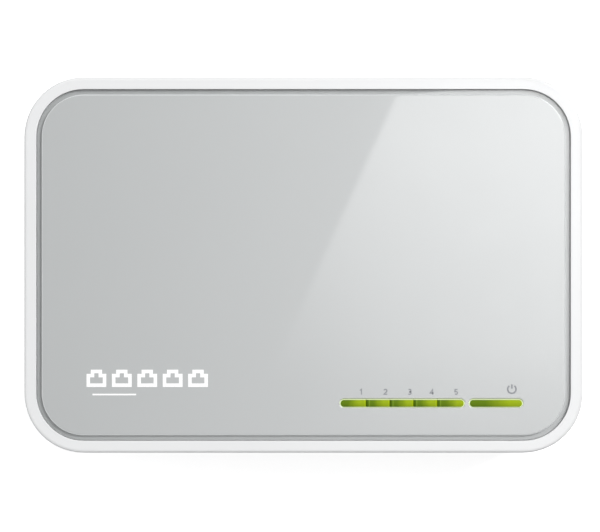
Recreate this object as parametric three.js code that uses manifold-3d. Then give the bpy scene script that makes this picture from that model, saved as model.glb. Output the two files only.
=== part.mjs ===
// Desktop network switch with five sockets, as an assembly of separate pieces.
// Millimetres, +Z up. The origin is the centre of the footprint, on the surface that the feet
// stand on. The lights are along the front edge (-Y) and the sockets are in the rear wall (+Y).

import * as THREE from "three";
import { mergeVertices } from "three/addons/utils/BufferGeometryUtils.js";
import Module from "manifold-3d";

const wasm = await Module();
wasm.setup();

// ---------------------------------------------------------------- driving dimensions
const BODY = { width: 103.5, depth: 69.6, top: 22, corner: 11, edge: 0.6, lowerEdge: 2 };
const WALL = 2;
const BASE_Z = 1; // underside of the lower case, which the feet hold off the surface
const FLOOR_TOP_Z = 2.8;
const BOARD_Z = 5.2;
const BOARD_THICKNESS = 1.6;
const BOARD_TOP_Z = BOARD_Z + BOARD_THICKNESS;
const SPLIT_Z = 7.5; // lower edge of the upper case
const SPLIT_GAP = 0.3;
const ROOF_Z = 18.9; // underside of the roof
const RECESS_Z = 20.8; // floor of the recess that holds the top panel
const RIM = 2.25; // width of the white rim around the recess

const HALF_W = BODY.width / 2;
const HALF_D = BODY.depth / 2;
const INNER_FRONT_Y = -HALF_D + WALL;

const LIP = { inset: 1.1, top: 9, rebateInset: 0.95, rebateTop: 9.2 };
const PANEL = { gap: 0.1, flangeTop: 21.1, step: 0.95, edge: 0.25, top: 21.8 };

const LIGHTS = {
  y: -25.6,
  height: 1.43,
  portEdges: [6.8, 11.6, 16, 20.4, 24.8, 29.8],
  power: [30.75, 40.6],
  seam: 0.12, // each lens stops this far short of the line between two lights
  headTop: 21.6,
  neckWidth: 3.4,
  neckBottom: 8.2,
  clearance: 0.15,
};

const PORTS = {
  count: 5,
  pitch: 13.97,
  left: -40.2,
  back: 15,
  face: 34.5,
  top: 18.7,
  wallY: [20.8, 21.8], // wall between a socket and the pocket for its contact carrier
};
PORTS.width = PORTS.count * PORTS.pitch;
PORTS.right = PORTS.left + PORTS.width;
const SOCKET = {
  width: 11.9,
  z: [10.1, 16.7],
  latchSteps: [
    { width: 6.3, z: [8.9, 10.1] },
    { width: 3.4, z: [7.7, 8.9] },
  ],
};
const CHANNEL = { width: 8.7, y: [PORTS.wallY[1], 33.3], z: [16.7, 18.2] };
const CONTACT = {
  count: 8,
  pitch: 1.02,
  width: 0.4,
  thickness: 0.3,
  bend: { y: 32.8, z: 17.4 },
  tip: { y: 23.4, z: 13.6 },
  bar: { width: 8.2, depth: 0.6, height: 0.5 },
  fixedZ: [17.85, 18.15],
};
const CARRIER = { width: 10.4, top: 17, tieWidth: 9.8, tieZ: [17.3, 18.1] };
const TAIL = { pitch: 1.27, size: 0.5, hole: 0.9, rowsY: [16.6, 19.1], bottom: 3.6 };

const POWER_SOCKET = {
  x: 35.7,
  z: 13.3,
  width: 9,
  y: [20.3, 32.6],
  top: 17.8,
  noseRadius: 4,
  boreRadius: 3.15,
  boreBack: 25,
  pinRadius: 1.05,
  pinFront: 33.8,
};

const BOARD = { halfWidth: 45, front: -28.5, rear: 32.3, corner: 6 };
const FOOT = { radius: 4.5, x: 43.8, y: 26.5, pocketTop: 1.8 };
const CASE_SCREW = { headRadius: 2.4, headZ: [2.5, 4.4], shankRadius: 1.3, tip: 14.4 };
const CASE_POST = { radius: 3.1, boss: 3.25, bossTop: 6, bottom: 6.1, bore: 1.45, boreTop: 16 };
const BOARD_SCREW = { x: 41.2, y: -6, headRadius: 2.5, headTop: 8.5, shank: 1.2, bottom: 3.2 };
const DOWEL = { x: 42, y: -20, radius: 1.2, top: 8, standoff: 2.5, postBore: 1.5, boreTop: 9 };
const KEYHOLE = { x: 31, y: -3, radius: 3.8, slotWidth: 3.8, slotLength: 8 };
const LABEL = { width: 44, depth: 26, thickness: 0.15, margin: 0.4, recessTop: 1.2 };
const SNAP = { x: 22, width: 6, top: 12, thickness: 1.2, gap: 0.2, barb: 0.8, barbZ: 10.6 };
const SIDE_VENT = { count: 11, pitch: 3.2, width: 1.5, z: [10.5, 15.5] };
const FLOOR_VENT = { count: 9, pitch: 5, width: 1.6, y: [17, 27] };

// ---------------------------------------------------------------- materials
const finish = (color, roughness, metalness = 0) =>
  new THREE.MeshStandardMaterial({ color, roughness, metalness });
const MATERIAL = {
  white: finish("#f0f0ef", 0.25),
  panel: finish("#c6c8c7", 0.15),
  lens: finish("#7fa818", 0.2),
  holder: finish("#2c2c2e", 0.6),
  rubber: finish("#3a3a3c", 0.9),
  steel: finish("#b9bcbf", 0.35, 1),
  label: finish("#d9dadb", 0.5),
  board: finish("#1f6b3a", 0.45),
  socket: finish("#1b1b1d", 0.5),
  gold: finish("#d6ab4f", 0.25, 1),
  tin: finish("#c9ccce", 0.3, 1),
  chip: finish("#232325", 0.6),
  can: finish("#c4c6c8", 0.3, 1),
  ferrite: finish("#3b3b3f", 0.7),
  emitter: finish("#e8e6cf", 0.4),
};

// ---------------------------------------------------------------- shape helpers
/** A closed three.js geometry as a solid that can be cut and joined. */
function toSolid(geometry) {
  const bare = geometry.clone();
  bare.deleteAttribute("normal");
  bare.deleteAttribute("uv");
  const merged = mergeVertices(bare);
  return new wasm.Manifold(
    new wasm.Mesh({
      numProp: 3,
      vertProperties: merged.attributes.position.array,
      triVerts: new Uint32Array(merged.index.array),
    }),
  );
}

/** A solid as a flat-shaded three.js geometry. */
function toGeometry(solid) {
  const { vertProperties, triVerts } = solid.getMesh();
  const geometry = new THREE.BufferGeometry();
  geometry.setAttribute("position", new THREE.BufferAttribute(vertProperties, 3));
  geometry.setIndex(new THREE.BufferAttribute(triVerts, 1));
  const flat = geometry.toNonIndexed();
  flat.computeVertexNormals();
  return flat;
}

const join = (...solids) => solids.flat().reduce((whole, piece) => whole.add(piece));
const cut = (solid, ...tools) => tools.flat().reduce((rest, tool) => rest.subtract(tool), solid);

/** A box between the low and high limits given for each axis. */
function block([x0, x1], [y0, y1], [z0, z1]) {
  const geometry = new THREE.BoxGeometry(x1 - x0, y1 - y0, z1 - z0);
  return toSolid(geometry.translate((x0 + x1) / 2, (y0 + y1) / 2, (z0 + z1) / 2));
}

/** A range of the given width about a middle value. */
const about = (middle, width) => [middle - width / 2, middle + width / 2];

/** A round rod along Z. */
function rodZ(radius, x, y, [z0, z1], sides = 16) {
  const geometry = new THREE.CylinderGeometry(radius, radius, z1 - z0, sides);
  return toSolid(geometry.rotateX(Math.PI / 2).translate(x, y, (z0 + z1) / 2));
}

/** A round rod along Y. */
function rodY(radius, x, z, [y0, y1], sides = 24) {
  const geometry = new THREE.CylinderGeometry(radius, radius, y1 - y0, sides);
  return toSolid(geometry.translate(x, (y0 + y1) / 2, z));
}

/** A rectangle outline with round corners, drawn anticlockwise. */
function roundedRect([x0, x1], [y0, y1], r, Outline = THREE.Shape) {
  const outline = new Outline();
  outline.moveTo(x0 + r, y0);
  outline.lineTo(x1 - r, y0);
  outline.absarc(x1 - r, y0 + r, r, -Math.PI / 2, 0);
  outline.lineTo(x1, y1 - r);
  outline.absarc(x1 - r, y1 - r, r, 0, Math.PI / 2);
  outline.lineTo(x0 + r, y1);
  outline.absarc(x0 + r, y1 - r, r, Math.PI / 2, Math.PI);
  outline.lineTo(x0, y0 + r);
  outline.absarc(x0 + r, y0 + r, r, Math.PI, 1.5 * Math.PI);
  return outline;
}

/** An upright prism of an outline. */
function prism(outline, [z0, z1], arcSteps = 6) {
  const options = { depth: z1 - z0, bevelEnabled: false, curveSegments: arcSteps };
  return toSolid(new THREE.ExtrudeGeometry(outline, options).translate(0, 0, z0));
}

/** An upright prism with both its edges rounded inwards. */
function softPrism(outline, [z0, z1], radius, steps = 3, arcSteps = 6) {
  const geometry = new THREE.ExtrudeGeometry(outline, {
    depth: z1 - z0 - 2 * radius,
    bevelThickness: radius,
    bevelSize: radius,
    bevelOffset: -radius,
    bevelSegments: steps,
    curveSegments: arcSteps,
  });
  return toSolid(geometry.translate(0, 0, z0 + radius));
}

/** The body's plan outline, taken in by the given distance on every side. */
function bodyOutline(inset) {
  const x = [-HALF_W + inset, HALF_W - inset];
  const y = [-HALF_D + inset, HALF_D - inset];
  return roundedRect(x, y, BODY.corner - inset);
}

/** The recess's plan outline, taken in by the given distance. */
const RECESS_CORNER = 8.7;
function recessOutline(inset) {
  const x = [-HALF_W + RIM + inset, HALF_W - RIM - inset];
  const y = [-HALF_D + RIM + inset, HALF_D - RIM - inset];
  return roundedRect(x, y, RECESS_CORNER - inset);
}

/** A profile drawn in (y, z), given its thickness along X about a middle. */
function ribX(points, x, width) {
  const outline = new THREE.Shape(points.map(([y, z]) => new THREE.Vector2(y, z)));
  const options = { depth: width, bevelEnabled: false };
  const geometry = new THREE.ExtrudeGeometry(outline, options);
  // the extrusion's own axes (x, y, z) become (y, z, x) of the part
  const turn = new THREE.Matrix4().set(0, 0, 1, 0, 1, 0, 0, 0, 0, 1, 0, 0, 0, 0, 0, 1);
  return toSolid(geometry.applyMatrix4(turn).translate(x - width / 2, 0, 0));
}

const bothSides = (make) => [-1, 1].map(make);
const count = (n) => Array.from({ length: n }, (_, i) => i);
const portX = (i) => PORTS.left + (i + 0.5) * PORTS.pitch;

// ---------------------------------------------------------------- the assembly
const assembly = new THREE.Group();

function place(name, solid, material, position = [0, 0, 0]) {
  const mesh = new THREE.Mesh(toGeometry(solid), material);
  mesh.name = name;
  mesh.position.set(...position);
  assembly.add(mesh);
}

// ---------------------------------------------------------------- openings shared by both cases
/** The window in the rear wall that the socket housing looks out through. */
function portWindow() {
  const x = [PORTS.left - 0.25, PORTS.right + 0.25];
  return block(x, [HALF_D - WALL - 1.5, HALF_D + 1], [BOARD_TOP_Z - 0.1, ROOF_Z]);
}

// ---------------------------------------------------------------- upper case
/** The light heads' outline: square ends, or round where the row of lights ends. */
function lightOutline([x0, x1], roundLeft, roundRight, grow = 0) {
  const r = LIGHTS.height / 2 + grow;
  const [left, right] = [x0 - grow, x1 + grow];
  const outline = new THREE.Shape();
  outline.moveTo(roundLeft ? left + r : left, -r);
  outline.lineTo(roundRight ? right - r : right, -r);
  if (roundRight) outline.absarc(right - r, 0, r, -Math.PI / 2, Math.PI / 2);
  else outline.lineTo(right, r);
  outline.lineTo(roundLeft ? left + r : left, r);
  if (roundLeft) outline.absarc(left + r, 0, r, Math.PI / 2, 1.5 * Math.PI);
  return outline;
}

/** Each light: its name, its span along X, and which of its ends are round. */
const lights = [
  ...count(PORTS.count).map((i) => ({
    name: `port_${i + 1}`,
    span: [
      LIGHTS.portEdges[i] + (i ? LIGHTS.seam : 0),
      LIGHTS.portEdges[i + 1] - (i < PORTS.count - 1 ? LIGHTS.seam : 0),
    ],
    roundLeft: i === 0,
    roundRight: i === PORTS.count - 1,
  })),
  { name: "power", span: LIGHTS.power, roundLeft: true, roundRight: true },
];
for (const light of lights) light.x = (light.span[0] + light.span[1]) / 2;

/** The shaft that a light pipe's neck passes through, at the given height. */
function lightShaft(light, z) {
  const width = LIGHTS.neckWidth + 2 * LIGHTS.clearance;
  const depth = LIGHTS.height + 2 * LIGHTS.clearance;
  return block(about(light.x, width), about(LIGHTS.y, depth), z);
}

function upperCase() {
  const outer = softPrism(bodyOutline(0), [SPLIT_Z - 3, BODY.top], BODY.edge);
  const below = block([-60, 60], [-40, 40], [0, SPLIT_Z]);
  const cavity = prism(bodyOutline(WALL), [SPLIT_Z - 1, ROOF_Z]);
  const rebate = prism(bodyOutline(LIP.rebateInset), [SPLIT_Z - 1, LIP.rebateTop]);
  const recess = prism(recessOutline(0), [RECESS_Z, BODY.top + 1]);
  const shell = cut(outer, below, cavity, rebate, recess, portWindow());

  const nose = rodY(POWER_SOCKET.noseRadius + 0.3, POWER_SOCKET.x, POWER_SOCKET.z, [30, 36]);
  const shafts = lights.map((light) => lightShaft(light, [ROOF_Z - 1, RECESS_Z + 1]));
  const vents = bothSides((side) =>
    count(SIDE_VENT.count).map((i) => {
      const y = (i - (SIDE_VENT.count - 1) / 2) * SIDE_VENT.pitch;
      return block(about(side * (HALF_W - 1), 4), about(y, SIDE_VENT.width), SIDE_VENT.z);
    }),
  );
  const catches = bothSides((side) => {
    const x = about(side * SNAP.x, SNAP.width + 0.6);
    const y = [INNER_FRONT_Y - SNAP.barb - 0.1, INNER_FRONT_Y + 1];
    return block(x, y, [SNAP.barbZ - 0.3, SNAP.top + 0.2]);
  });

  const posts = bothSides((side) => {
    const { radius, bottom, bore, boreTop } = CASE_POST;
    const x = side * FOOT.x;
    const post = rodZ(radius, x, FOOT.y, [bottom, ROOF_Z + 0.5]);
    return cut(post, rodZ(bore, x, FOOT.y, [bottom - 1, boreTop], 12));
  });
  const dowelPosts = bothSides((side) => {
    const x = side * DOWEL.x;
    const post = rodZ(DOWEL.standoff, x, DOWEL.y, [BOARD_TOP_Z + 0.1, ROOF_Z + 0.5]);
    return cut(post, rodZ(DOWEL.postBore, x, DOWEL.y, [BOARD_TOP_Z - 1, DOWEL.boreTop], 12));
  });
  return join(cut(shell, nose, shafts, vents.flat(), catches), posts, dowelPosts);
}

// ---------------------------------------------------------------- lower case
function snapHook(x) {
  const outerY = INNER_FRONT_Y + SNAP.gap;
  const innerY = outerY + SNAP.thickness;
  const barbBottom = SNAP.barbZ;
  const profile = [
    [innerY, FLOOR_TOP_Z - 0.5],
    [innerY, SNAP.top],
    [outerY + 0.4, SNAP.top],
    [outerY - SNAP.barb + 0.1, barbBottom + 0.3],
    [outerY - SNAP.barb + 0.1, barbBottom],
    [outerY, barbBottom],
    [outerY, FLOOR_TOP_Z - 0.5],
  ];
  return ribX(profile, x, SNAP.width);
}

function keyhole(side) {
  const x = side * KEYHOLE.x;
  const z = [BASE_Z - 1, FLOOR_TOP_Z + 0.5];
  const slotEnd = KEYHOLE.y + KEYHOLE.slotLength;
  return [
    rodZ(KEYHOLE.radius, x, KEYHOLE.y, z, 20),
    block(about(x, KEYHOLE.slotWidth), [KEYHOLE.y, slotEnd], z),
    rodZ(KEYHOLE.slotWidth / 2, x, slotEnd, z, 12),
  ];
}

function lowerCase() {
  const wallTop = SPLIT_Z - SPLIT_GAP;
  const outer = softPrism(bodyOutline(0), [BASE_Z, wallTop + 4], BODY.lowerEdge);
  const above = block([-60, 60], [-40, 40], [wallTop, 20]);
  const cavity = prism(bodyOutline(WALL), [FLOOR_TOP_Z, wallTop + 1]);
  const tray = cut(outer, above, cavity);
  const lip = cut(
    prism(bodyOutline(LIP.inset), [FLOOR_TOP_Z, LIP.top]),
    prism(bodyOutline(WALL), [FLOOR_TOP_Z - 1, LIP.top + 1]),
  );
  const hooks = bothSides((side) => snapHook(side * SNAP.x));
  const feet = footPlaces.map(([x, y]) => rodZ(FOOT.radius + 0.1, x, y, [0, FOOT.pocketTop], 20));
  const labelX = [-LABEL.width / 2 - LABEL.margin, LABEL.width / 2 + LABEL.margin];
  const labelY = [-LABEL.depth / 2 - LABEL.margin, LABEL.depth / 2 + LABEL.margin];
  const labelRecess = block(labelX, labelY, [0, LABEL.recessTop]);
  const vents = bothSides((side) =>
    count(FLOOR_VENT.count).map((i) => {
      const x = (i - (FLOOR_VENT.count - 1) / 2) * FLOOR_VENT.pitch;
      const y = [side * FLOOR_VENT.y[0], side * FLOOR_VENT.y[1]].sort((a, b) => a - b);
      return block(about(x, FLOOR_VENT.width), y, [0, FLOOR_TOP_Z + 0.5]);
    }),
  );

  const bosses = bothSides((side) =>
    rodZ(CASE_POST.boss, side * FOOT.x, FOOT.y, [FLOOR_TOP_Z - 0.5, CASE_POST.bossTop]),
  );
  const screwHoles = bothSides((side) => [
    rodZ(CASE_SCREW.headRadius + 0.2, side * FOOT.x, FOOT.y, [0, CASE_SCREW.headZ[1]]),
    rodZ(CASE_POST.bore, side * FOOT.x, FOOT.y, [0, CASE_POST.bossTop + 1], 12),
  ]);
  const boardPosts = bothSides((side) => [
    rodZ(DOWEL.standoff, side * DOWEL.x, DOWEL.y, [FLOOR_TOP_Z - 0.5, BOARD_Z]),
    rodZ(DOWEL.radius, side * DOWEL.x, DOWEL.y, [FLOOR_TOP_Z, DOWEL.top], 12),
    cut(
      rodZ(DOWEL.standoff, side * BOARD_SCREW.x, BOARD_SCREW.y, [FLOOR_TOP_Z - 0.5, BOARD_Z]),
      rodZ(BOARD_SCREW.shank + 0.15, side * BOARD_SCREW.x, BOARD_SCREW.y, [3, BOARD_Z + 1], 12),
    ),
  ]);
  const shell = cut(
    join(tray, lip, hooks, bosses),
    portWindow(),
    feet,
    labelRecess,
    vents.flat(),
    screwHoles.flat(),
    bothSides(keyhole).flat(),
  );
  return join(shell, boardPosts.flat());
}

// ---------------------------------------------------------------- top panel, lights
/** A plate on a thin flange that fills the recess, so a shallow channel runs all round it. */
function topPanel() {
  const flange = prism(recessOutline(PANEL.gap), [RECESS_Z, PANEL.flangeTop]);
  const plate = softPrism(recessOutline(PANEL.step), [RECESS_Z - 2, PANEL.top], PANEL.edge);
  const below = block([-60, 60], [-40, 40], [0, RECESS_Z]);
  const slots = [[LIGHTS.portEdges[0], LIGHTS.portEdges[PORTS.count]], LIGHTS.power].map((span) => {
    const outline = lightOutline(span, true, true, LIGHTS.clearance);
    const slot = new THREE.ExtrudeGeometry(outline, {
      depth: 3,
      bevelEnabled: false,
      curveSegments: 4,
    });
    return toSolid(slot.translate(0, LIGHTS.y, RECESS_Z - 1));
  });
  return cut(join(flange, plate), below, slots);
}

/** A clear guide: a flat head in the panel's slot on a neck that reaches down to its light. */
function lightPipe(light) {
  const span = [light.span[0] - light.x, light.span[1] - light.x];
  const outline = lightOutline(span, light.roundLeft, light.roundRight);
  const head = prism(outline, [RECESS_Z, LIGHTS.headTop]);
  const neck = block(
    about(0, LIGHTS.neckWidth),
    about(0, LIGHTS.height),
    [LIGHTS.neckBottom, RECESS_Z + 0.3],
  );
  return join(head, neck);
}

/** The dark block under the roof that keeps each light out of its neighbours' pipes. */
function lightPipeHolder() {
  const x = [LIGHTS.portEdges[0] - 0.5, LIGHTS.power[1] - 1];
  const body = block(x, about(LIGHTS.y, 3.4), [9, ROOF_Z]);
  return cut(body, lights.map((light) => lightShaft(light, [8, ROOF_Z + 1])));
}

/** A surface-mount light: its base and its lens. */
function lightEmitter() {
  return join(block([-1, 1], [-0.62, 0.62], [0, 0.45]), block([-0.6, 0.6], [-0.6, 0.6], [0, 0.8]));
}

// ---------------------------------------------------------------- feet, screws, label
const footPlaces = bothSides((sy) => bothSides((sx) => [sx * FOOT.x, sy * FOOT.y])).flat();
const footNames = ["front_left", "front_right", "rear_left", "rear_right"];

/** A round rubber foot with a softened lower edge. */
function rubberFoot() {
  const { radius, pocketTop } = FOOT;
  const profile = [
    [0, 0],
    [radius - 0.5, 0],
    [radius, 0.4],
    [radius, pocketTop],
    [0, pocketTop],
  ].map(([r, z]) => new THREE.Vector2(r, z));
  return toSolid(new THREE.LatheGeometry(profile, 20).rotateX(Math.PI / 2));
}

/** A cross-head screw along Z from the profile given as (radius, z) pairs, head at headZ. */
function screw(profile, recessZ) {
  const points = profile.map(([r, z]) => new THREE.Vector2(r, z));
  const body = toSolid(new THREE.LatheGeometry(points, 16).rotateX(Math.PI / 2));
  const arm = 1.3;
  const slot = 0.45;
  return cut(
    body,
    block(about(0, 2 * arm), about(0, slot), recessZ),
    block(about(0, slot), about(0, 2 * arm), recessZ),
  );
}

function caseScrew() {
  const { headRadius, headZ, shankRadius, tip } = CASE_SCREW;
  const profile = [
    [0, headZ[0]],
    [headRadius - 0.6, headZ[0]],
    [headRadius, headZ[0] + 0.7],
    [headRadius, headZ[1]],
    [shankRadius, headZ[1]],
    [shankRadius, tip - 1],
    [0, tip],
  ];
  return screw(profile, [headZ[0] - 1, headZ[0] + 1]);
}

function boardScrew() {
  const { headRadius, headTop, shank, bottom } = BOARD_SCREW;
  const profile = [
    [0, bottom],
    [shank, bottom + 0.6],
    [shank, BOARD_TOP_Z],
    [headRadius, BOARD_TOP_Z],
    [headRadius, headTop - 0.6],
    [headRadius - 0.6, headTop],
    [0, headTop],
  ];
  return screw(profile, [headTop - 0.9, headTop + 1]);
}

function ratingLabel() {
  const x = [-LABEL.width / 2, LABEL.width / 2];
  const y = [-LABEL.depth / 2, LABEL.depth / 2];
  const z = [LABEL.recessTop - LABEL.thickness, LABEL.recessTop];
  return prism(roundedRect(x, y, 1.5), z, 2);
}

// ---------------------------------------------------------------- circuit board
/** The contact tails of one port stand in two staggered rows. */
const tailPlaces = count(CONTACT.count).map((k) => [
  (k - (CONTACT.count - 1) / 2) * TAIL.pitch,
  TAIL.rowsY[k % 2],
]);

function circuitBoard() {
  const { halfWidth, front, rear, corner } = BOARD;
  const outline = roundedRect([-halfWidth, halfWidth], [front, rear], corner);
  const through = [BOARD_Z - 1, BOARD_TOP_Z + 1];
  const fixings = bothSides((side) => [
    rodZ(CASE_POST.radius + 0.9, side * FOOT.x, FOOT.y, through, 16),
    rodZ(1.6, side * BOARD_SCREW.x, BOARD_SCREW.y, through, 12),
    rodZ(DOWEL.radius + 0.2, side * DOWEL.x, DOWEL.y, through, 12),
  ]);
  const tails = count(PORTS.count).map((i) =>
    tailPlaces.map(([dx, y]) => block(about(portX(i) + dx, TAIL.hole), about(y, TAIL.hole), through)),
  );
  const terminals = powerTerminalsY.map((y) =>
    block(about(POWER_SOCKET.x, 3), about(y, 1.2), through),
  );
  return cut(prism(outline, [BOARD_Z, BOARD_TOP_Z], 3), fixings.flat(), tails.flat(), terminals);
}

// ---------------------------------------------------------------- network sockets
/** One block of five sockets, each with a latch slot below and a contact channel above. */
function portHousing() {
  const body = block([PORTS.left, PORTS.right], [PORTS.back, PORTS.face], [BOARD_TOP_Z, PORTS.top]);
  const [wallBack, wallFront] = PORTS.wallY;
  const hollows = count(PORTS.count).map((i) => {
    const x = portX(i);
    const mouth = [wallFront, PORTS.face + 1];
    return [
      block(about(x, SOCKET.width), mouth, SOCKET.z),
      ...SOCKET.latchSteps.map((step) => block(about(x, step.width), mouth, step.z)),
      block(about(x, CHANNEL.width), CHANNEL.y, [CHANNEL.z[0] - 0.5, CHANNEL.z[1]]),
      block(about(x, CHANNEL.width), [wallBack - 1, wallFront + 1], [17.8, CHANNEL.z[1]]),
      block(about(x, 10.8), [PORTS.back - 1, wallBack], [BOARD_TOP_Z - 1, CHANNEL.z[1]]),
    ];
  });
  return cut(body, hollows.flat());
}

const wireX = (k) => (k - (CONTACT.count - 1) / 2) * CONTACT.pitch;

const carrierY = [PORTS.back + 0.2, PORTS.wallY[0] - 0.2];

/** The moulded carrier at the back of one socket, with its contacts' solder tails. */
function contactCarrier() {
  const body = block(about(0, CARRIER.width), carrierY, [BOARD_TOP_Z + 0.1, CARRIER.top]);
  const tails = tailPlaces.map(([x, y]) =>
    block(about(x, TAIL.size), about(y, TAIL.size), [TAIL.bottom, BOARD_TOP_Z + 0.5]),
  );
  return join(body, tails);
}

/** The fixed run of each contact along the top of one socket, and the strip that ties them. */
function wireRuns() {
  const tie = block(about(0, CARRIER.tieWidth), carrierY, CARRIER.tieZ);
  const runs = count(CONTACT.count).map((k) => {
    const y = [carrierY[1] - 0.5, CONTACT.bend.y + 0.3];
    return block(about(wireX(k), CONTACT.width), y, CONTACT.fixedZ);
  });
  return join(tie, runs);
}

/** The sprung part of the eight contacts, about the bend that they turn on. */
function springContacts() {
  const { bend, tip, bar, thickness } = CONTACT;
  const length = Math.hypot(tip.y - bend.y, tip.z - bend.z);
  const along = { y: (tip.y - bend.y) / length, z: (tip.z - bend.z) / length };
  const up = { y: along.z * -0.5 * thickness, z: along.y * 0.5 * thickness };
  const at = (d, side) => [along.y * d + up.y * side, along.z * d + up.z * side];
  const toe = [along.y * (length + 0.5), along.z * length + 0.25];
  const profile = [at(0, 1), at(length, 1), [toe[0], toe[1] - 0.15], toe, at(length, -1), at(0, -1)];
  const wires = count(CONTACT.count).map((k) => ribX(profile, wireX(k), CONTACT.width));
  return join(block(about(0, bar.width), about(0, bar.depth), about(0, bar.height)), wires);
}

// ---------------------------------------------------------------- power socket
/** The sprung leaf that presses on the plug's sleeve, about the bend that it turns on. */
const LEAF = {
  bend: { y: 25.5, z: 8.2 },
  crest: { y: 30.4, z: 10.75 },
  toe: { y: 31.4, z: 9.9 },
  thickness: 0.3,
  width: 2.2,
};
const powerTerminalsY = [21.6, LEAF.bend.y];

function powerSocketBody() {
  const { x, z, width, y, top, noseRadius, boreRadius, boreBack } = POWER_SOCKET;
  const body = block(about(x, width), y, [BOARD_TOP_Z, top]);
  const nose = rodY(noseRadius, x, z, [y[1] - 1, PORTS.face]);
  const bore = rodY(boreRadius, x, z, [boreBack, PORTS.face + 1]);
  const pinHole = rodY(1.35, x, z, [y[0] - 1, boreBack + 1], 12);
  const terminalSlot = block(about(x, 3), [y[0] - 1, 22.4], [BOARD_TOP_Z - 1, z + 1.4]);
  const springSlot = block(about(x, 2.8), [24.4, 32.1], [BOARD_TOP_Z - 1, z - 2]);
  return cut(join(body, nose), bore, pinHole, terminalSlot, springSlot);
}

/** The centre pin, with its terminal down through the board behind the socket. */
function powerPin() {
  const { z, pinRadius, pinFront } = POWER_SOCKET;
  const pin = rodY(pinRadius, 0, z, [21.5, pinFront], 12);
  const terminal = block(about(0, 2.4), about(powerTerminalsY[0], 0.6), [TAIL.bottom, z + 1.1]);
  return join(pin, terminal);
}

/** The fixed root of the leaf, down through the board. */
function powerTerminal() {
  return block(about(0, 2.2), about(LEAF.bend.y, 0.6), [TAIL.bottom, LEAF.bend.z - 0.5]);
}

function powerLeaf() {
  const { bend, crest, toe, thickness, width } = LEAF;
  const profile = [
    [-0.3, -0.3],
    [0.3, -0.3],
    [crest.y - bend.y, crest.z - bend.z - thickness],
    [toe.y - bend.y, toe.z - bend.z - thickness],
    [toe.y - bend.y, toe.z - bend.z],
    [crest.y - bend.y, crest.z - bend.z],
    [-0.3, 0.3],
  ];
  return ribX(profile, 0, width);
}

// ---------------------------------------------------------------- board components
/** A moulded package with gull-wing legs along its two long sides, standing on z = 0. */
function leggedPackage({ width, depth, height, legs, pitch, reach, legWidth }) {
  const body = block(about(0, width), about(0, depth), [0.15, height]);
  const legAt = (side, i) => {
    const y = (i - (legs - 1) / 2) * pitch;
    const inner = side * (width / 2 - 0.3);
    const outer = side * (width / 2 + reach);
    const x = [inner, outer].sort((a, b) => a - b);
    return block(x, about(y, legWidth), [0, Math.min(0.4, height / 3)]);
  };
  return join(body, bothSides((side) => count(legs).map((i) => legAt(side, i))).flat());
}

/** A leadless package: a thin body with its first corner cut off, on a raised thermal pad. */
function leadlessPackage(size, height, cutCorner) {
  const half = size / 2;
  const outline = new THREE.Shape();
  outline.moveTo(-half, -half);
  outline.lineTo(half, -half);
  outline.lineTo(half, half);
  outline.lineTo(-half + cutCorner, half);
  outline.lineTo(-half, half - cutCorner);
  return join(prism(outline, [0.05, height]), block(about(0, size * 0.6), about(0, size * 0.6), [0, 0.5]));
}

function crystalCan() {
  const base = block(about(0, 11.2), about(0, 4.6), [0, 0.6]);
  const can = softPrism(roundedRect(about(0, 10.4), about(0, 3.8), 1.85), [0.4, 3.5], 0.3, 1, 3);
  return join(base, can);
}

/** An aluminium-can capacitor on its square base. */
function capacitorCan() {
  const base = block(about(0, 6.6), about(0, 6.6), [0, 0.9]);
  const profile = [
    [0, 0.5],
    [3.15, 0.5],
    [3.15, 1.5],
    [2.9, 1.8],
    [3.15, 2.1],
    [3.15, 6.9],
    [2.8, 7.2],
    [0, 7.2],
  ].map(([r, z]) => new THREE.Vector2(r, z));
  return join(base, toSolid(new THREE.LatheGeometry(profile, 16).rotateX(Math.PI / 2)));
}

function powerInductor() {
  const core = prism(roundedRect(about(0, 6), about(0, 6), 1.2), [0, 3.8], 2);
  return cut(core, rodZ(1.8, 0, 0, [3.5, 5], 16));
}

function chipDiode() {
  return join(block(about(0, 2.6), about(0, 4.3), [0.1, 2.3]), block([-0.7, 0.7], [-2.6, 2.6], [0, 0.9]));
}

// ---------------------------------------------------------------- build everything
place("upper_case", upperCase(), MATERIAL.white);
place("lower_case", lowerCase(), MATERIAL.white);
place("top_panel", topPanel(), MATERIAL.panel);
place("light_pipe_holder", lightPipeHolder(), MATERIAL.holder);
for (const light of lights) {
  place(`${light.name}_light_pipe`, lightPipe(light), MATERIAL.lens, [light.x, LIGHTS.y, 0]);
  place(`${light.name}_led`, lightEmitter(), MATERIAL.emitter, [light.x, LIGHTS.y, BOARD_TOP_Z]);
}
footPlaces.forEach(([x, y], i) =>
  place(`rubber_foot_${footNames[i]}`, rubberFoot(), MATERIAL.rubber, [x, y, 0]),
);
for (const [side, word] of [[-1, "left"], [1, "right"]]) {
  place(`case_screw_${word}`, caseScrew(), MATERIAL.steel, [side * FOOT.x, FOOT.y, 0]);
  place(`board_screw_${word}`, boardScrew(), MATERIAL.steel, [side * BOARD_SCREW.x, BOARD_SCREW.y, 0]);
}
place("rating_label", ratingLabel(), MATERIAL.label);
place("circuit_board", circuitBoard(), MATERIAL.board);
place("port_housing", portHousing(), MATERIAL.socket);
for (const i of count(PORTS.count)) {
  const { bend } = CONTACT;
  place(`port_${i + 1}_carrier`, contactCarrier(), MATERIAL.socket, [portX(i), 0, 0]);
  place(`port_${i + 1}_wire_runs`, wireRuns(), MATERIAL.gold, [portX(i), 0, 0]);
  place(`port_${i + 1}_contacts`, springContacts(), MATERIAL.gold, [portX(i), bend.y, bend.z]);
}
place("power_socket_body", powerSocketBody(), MATERIAL.socket);
place("power_socket_pin", powerPin(), MATERIAL.tin, [POWER_SOCKET.x, 0, 0]);
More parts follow.
